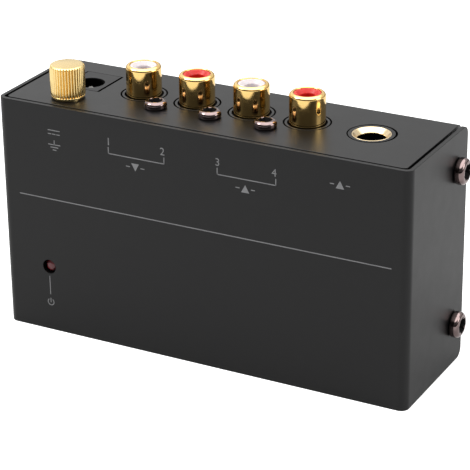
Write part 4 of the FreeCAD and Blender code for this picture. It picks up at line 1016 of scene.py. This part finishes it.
def make_block_screws(materials):
    """Three screws through the panel into the jack block."""
    low, high = box("phono_block_screws")
    places = [((x, y, CASE_HEIGHT), (0, 0, 1), turn)
              for (x, y), turn in zip(block_screw_places(), BLOCK_SCREW_TURNS)]
    make_screws("phono_block_screws", places, BLOCK_SCREW_THREAD, BLOCK_SCREW_LENGTH, high.y - low.y,
                BLOCK_SCREW_HEAD, materials)


# Printed marks

def stamp(bm, outline):
    """A flat printed form on the face, from its outline in X and Z."""
    front = [bm.verts.new((x, FACE_Y - PRINT_LIFT - PRINT_THICKNESS, z)) for x, z in outline]
    back = [bm.verts.new((x, FACE_Y - PRINT_LIFT, z)) for x, z in outline]
    bm.faces.new(front)
    bm.faces.new(back[::-1])
    join_rings(bm, front, back)


def bar(bm, start, end, width=LINE_WIDTH):
    """A printed line between two points on the face, along X or along Z."""
    half = width / 2
    left, right = min(start[0], end[0]) - half, max(start[0], end[0]) + half
    low, high = min(start[1], end[1]) - half, max(start[1], end[1]) + half
    stamp(bm, [(left, low), (right, low), (right, high), (left, high)])


def bracket(bm, x):
    """A flat bracket under two jacks, open upwards."""
    for side in (-1, 1):
        end = x + side * BRACKET_HALF
        bar(bm, (end, BRACKET_Z), (end, BRACKET_Z + BRACKET_LEG))
    bar(bm, (x - BRACKET_HALF, BRACKET_Z), (x + BRACKET_HALF, BRACKET_Z))


def arrow_mark(bm, x, z, down):
    """A triangle between two short bars: the sign for signal going in or out."""
    low, high = (z + MARK_HEIGHT, z) if down else (z, z + MARK_HEIGHT)
    stamp(bm, [(x - ARROW_HALF, low), (x + ARROW_HALF, low), (x, high)])
    middle = z + MARK_HEIGHT / 2
    for side in (-1, 1):
        bar(bm, (x + side * ARROW_BAR_START, middle), (x + side * ARROW_BAR_END, middle))


def power_mark(bm, x, z):
    """The usual sign for power: an open ring with a bar in its gap."""
    outer = MARK_HEIGHT / 2
    inner = outer - LINE_WIDTH
    middle = z + outer
    sweep = 360 - 2 * POWER_GAP
    angles = [math.radians(POWER_GAP + sweep * k / POWER_STEPS) for k in range(POWER_STEPS + 1)]
    rim = [(x + outer * math.sin(t), middle + outer * math.cos(t)) for t in angles]
    rim += [(x + inner * math.sin(t), middle + inner * math.cos(t)) for t in reversed(angles)]
    stamp(bm, rim)
    bar(bm, (x, middle), (x, middle + outer))


def direct_current_mark(bm, x):
    """The usual sign for direct current: a line over a dashed one."""
    bar(bm, (x - SUPPLY_HALF, SUPPLY_Z), (x + SUPPLY_HALF, SUPPLY_Z))
    for k in range(DASH_COUNT):
        dash = x - SUPPLY_HALF + k * DASH_PITCH
        bar(bm, (dash, DASH_Z), (dash + DASH_LENGTH, DASH_Z))


def ground_mark(bm, x):
    """The usual sign for ground: a stem over three bars, each shorter than the one above it."""
    bar(bm, (x, GROUND_STEM_Z), (x, GROUND_Z))
    for k, half in enumerate(GROUND_HALVES):
        z = GROUND_Z - GROUND_PITCH * k
        bar(bm, (x - half, z), (x + half, z))


def printed(bm, name, materials):
    """Turns a printed form's mesh in millimetres into a piece."""
    bmesh.ops.transform(bm, matrix=Matrix.Scale(MM, 4), verts=bm.verts)
    to_object(bm, name, materials["face_print"], "case", weighted=False)


def make_number(text, x, z, materials):
    """A plain number centred at x, standing on z, printed on the face."""
    name = f"mark_{text}"
    curve = bpy.data.curves.new(name, "FONT")
    curve.body = text
    curve.align_x = "CENTER"
    curve.size = MARK_HEIGHT / DIGIT_HEIGHT_SHARE
    curve.extrude = PRINT_THICKNESS / 2
    curve.resolution_u = DIGIT_CURVE_STEPS
    source = bpy.data.objects.new(name + "_source", curve)
    bpy.context.scene.collection.objects.link(source)
    bpy.context.view_layer.update()
    mesh = bpy.data.meshes.new_from_object(source.evaluated_get(bpy.context.evaluated_depsgraph_get()))
    bm = bmesh.new()
    bm.from_mesh(mesh)
    bpy.data.objects.remove(source)
    bpy.data.curves.remove(curve)
    bpy.data.meshes.remove(mesh)
    place = Matrix.Translation((x, FACE_Y - PRINT_LIFT - PRINT_THICKNESS / 2, z))
    upright = Matrix.Rotation(math.pi / 2, 4, "X")
    bmesh.ops.transform(bm, matrix=place @ upright, verts=bm.verts)
    printed(bm, name, materials)


def make_prints(materials):
    """Lines, plain numbers and generic marks; the places of the names are bare."""
    lines = bmesh.new()
    bar(lines, (LONG_LINE[0], LONG_LINE_Z), (LONG_LINE[1], LONG_LINE_Z), LONG_LINE_WIDTH)
    light = centre("power_light").x
    bar(lines, (light, LIGHT_LINE_Z[0]), (light, LIGHT_LINE_Z[1]))
    power_mark(lines, light, POWER_MARK_Z)
    jacks = [centre(f"phono_shell_{name}").x for name in PHONO_JACKS]
    for pair in (0, 1):
        middle = (jacks[2 * pair] + jacks[2 * pair + 1]) / 2 + BRACKET_SHIFT
        bracket(lines, middle)
        arrow_mark(lines, middle + PAIR_MARK_SHIFT, PAIR_MARK_Z, down=pair == 0)
        for side, shift in enumerate(NUMBER_SHIFTS):
            make_number(str(1 + 2 * pair + side), middle + shift, NUMBER_Z, materials)
    arrow_mark(lines, centre("output_jack_ferrule").x + OUTPUT_MARK_SHIFT, NUMBER_Z, down=False)
    inlet = centre("power_inlet_body").x + SUPPLY_SHIFT
    direct_current_mark(lines, inlet)
    ground_mark(lines, inlet)
    printed(lines, "face_lines", materials)


# Stage

def make_camera():
    azimuth = math.radians(CAMERA_AZIMUTH)
    elevation = math.radians(CAMERA_ELEVATION)
    roll = math.radians(CAMERA_ROLL)
    level = math.cos(elevation)
    back = Vector((math.sin(azimuth) * level, -math.cos(azimuth) * level, math.sin(elevation)))
    right = Vector((math.cos(azimuth), math.sin(azimuth), 0))
    up = back.cross(right)
    rolled_right = right * math.cos(roll) + up * math.sin(roll)
    rolled_up = up * math.cos(roll) - right * math.sin(roll)
    data = bpy.data.cameras.new("photo_camera")
    data.sensor_width = SENSOR_WIDTH
    data.lens = FOCAL_PIXELS * SENSOR_WIDTH / IMAGE_PIXELS
    data.clip_start, data.clip_end = (reach * MM for reach in CAMERA_CLIP)
    camera = bpy.data.objects.new("photo_camera", data)
    place = (Vector(CAMERA_TARGET) + back * CAMERA_DISTANCE) * MM
    turn = Matrix((rolled_right, rolled_up, back)).transposed().to_4x4()
    camera.matrix_world = Matrix.Translation(place) @ turn
    bpy.context.scene.collection.objects.link(camera)
    bpy.context.scene.camera = camera


def make_floor():
    """Pale floor that keeps the object's shadow. It glows white to the camera, and weakly in reflections."""
    bm = bmesh.new()
    bmesh.ops.create_grid(bm, x_segments=1, y_segments=1, size=FLOOR_REACH * MM)
    floor = as_object(bm, "floor")
    material = bpy.data.materials.new("floor")
    material.use_nodes = True
    tree = material.node_tree
    tree.nodes.clear()
    output = tree.nodes.new("ShaderNodeOutputMaterial")
    lit = value_node(tree, "ShaderNodeBsdfDiffuse", Color=(*grey(FLOOR_GREY), 1.0))
    glow = value_node(tree, "ShaderNodeEmission", Color=(1.0, 1.0, 1.0, 1.0))
    total = tree.nodes.new("ShaderNodeAddShader")
    path = tree.nodes.new("ShaderNodeLightPath")
    seen = tree.nodes.new("ShaderNodeMath")
    seen.operation = "MULTIPLY"
    seen.inputs[1].default_value = FLOOR_GLOW_SEEN
    mirrored = tree.nodes.new("ShaderNodeMath")
    mirrored.operation = "MULTIPLY_ADD"
    mirrored.inputs[1].default_value = FLOOR_GLOW_MIRRORED
    tree.links.new(path.outputs["Is Camera Ray"], seen.inputs[0])
    tree.links.new(path.outputs["Is Glossy Ray"], mirrored.inputs[0])
    tree.links.new(seen.outputs[0], mirrored.inputs[2])
    tree.links.new(mirrored.outputs[0], glow.inputs["Strength"])
    tree.links.new(lit.outputs[0], total.inputs[0])
    tree.links.new(glow.outputs[0], total.inputs[1])
    tree.links.new(total.outputs[0], output.inputs["Surface"])
    floor.data.materials.append(material)


def room_colour(tree, mirrored):
    """Brightness of the room by direction: dark in front and low down, brighter behind and at the left.

    The ceiling is brighter than the walls, and more so in reflections, where the socket mirrored is 1."""
    x, y, z = components(tree, "Generated")
    dark, bright = HORIZON_STOPS
    back = ramp(tree, spread(tree, y, ROOM_BACK_SPAN), [(0.0, grey(ROOM_FRONT)), (1.0, grey(ROOM_BACK))])
    left = ramp(tree, spread(tree, x, ROOM_LEFT_SPAN), [(0.0, grey(1.0)), (1.0, grey(ROOM_LEFT))])
    rise = ramp(tree, spread(tree, z, HORIZON_SPAN), [(dark, grey(ROOM_HORIZON)), (bright, grey(1.0))])
    ceiling = ramp(tree, mirrored, [(0.0, grey(ROOM_TOP)), (1.0, grey(ROOM_TOP_MIRRORED))])
    walls = mixed(tree, 1.0, back, left, blend="MULTIPLY")
    walls = mixed(tree, 1.0, walls, rise, blend="MULTIPLY")
    return mixed(tree, spread(tree, z, CEILING_SPAN), walls, ceiling)


def make_world():
    """White to the camera, and a studio room for light and reflections."""
    world = bpy.data.worlds.new("studio")
    bpy.context.scene.world = world
    world.use_nodes = True
    tree = world.node_tree
    tree.nodes.clear()
    output = tree.nodes.new("ShaderNodeOutputWorld")
    white = value_node(tree, "ShaderNodeBackground", Color=(1.0, 1.0, 1.0, 1.0), Strength=1.0)
    room = value_node(tree, "ShaderNodeBackground", Strength=1.0)
    path = tree.nodes.new("ShaderNodeLightPath")
    tree.links.new(room_colour(tree, path.outputs["Is Glossy Ray"]), room.inputs["Color"])
    choose = tree.nodes.new("ShaderNodeMixShader")
    tree.links.new(path.outputs["Is Camera Ray"], choose.inputs[0])
    tree.links.new(room.outputs[0], choose.inputs[1])
    tree.links.new(white.outputs[0], choose.inputs[2])
    tree.links.new(choose.outputs[0], output.inputs["Surface"])


def make_lamp(name, place, power, size):
    data = bpy.data.lights.new(name, "AREA")
    data.shape = "SQUARE"
    data.size = size * MM
    data.energy = power
    lamp = bpy.data.objects.new(name, data)
    lamp.location = Vector(place) * MM
    lamp.rotation_euler = (Vector(LAMP_AIM) - Vector(place)).to_track_quat("-Z", "Y").to_euler()
    bpy.context.scene.collection.objects.link(lamp)


def dress_cad_nodes(materials):
    """Every CAD node that stays gets the procedural material of its record slot."""
    for entry in frame["record"]["subparts"]:
        data = frame["nodes"][entry["node"]].data
        data.materials.clear()
        data.materials.append(materials[entry["material_slot"]])


def main():
    bpy.context.scene.view_settings.view_transform = "Standard"
    materials = {name: finish_material(name, **settings) for name, settings in finishes().items()}
    dress_cad_nodes(materials)
    make_cover(materials)
    make_chassis(materials)
    for name in PHONO_JACKS:
        make_phono_shell(name, materials)
        make_phono_insulator(name, materials)
        make_phono_boss(name, materials)
    make_ferrule(materials)
    make_stud(materials)
    make_washer(materials)
    make_thumb_nut(materials)
    make_light(materials)
    make_feet(materials)
    make_end_screws(materials)
    make_block_screws(materials)
    make_prints(materials)
    make_camera()
    make_floor()
    make_world()
    make_lamp("key", KEY_PLACE, KEY_WATTS, KEY_SIZE)
    make_lamp("fill", FILL_PLACE, FILL_WATTS, FILL_SIZE)


main()
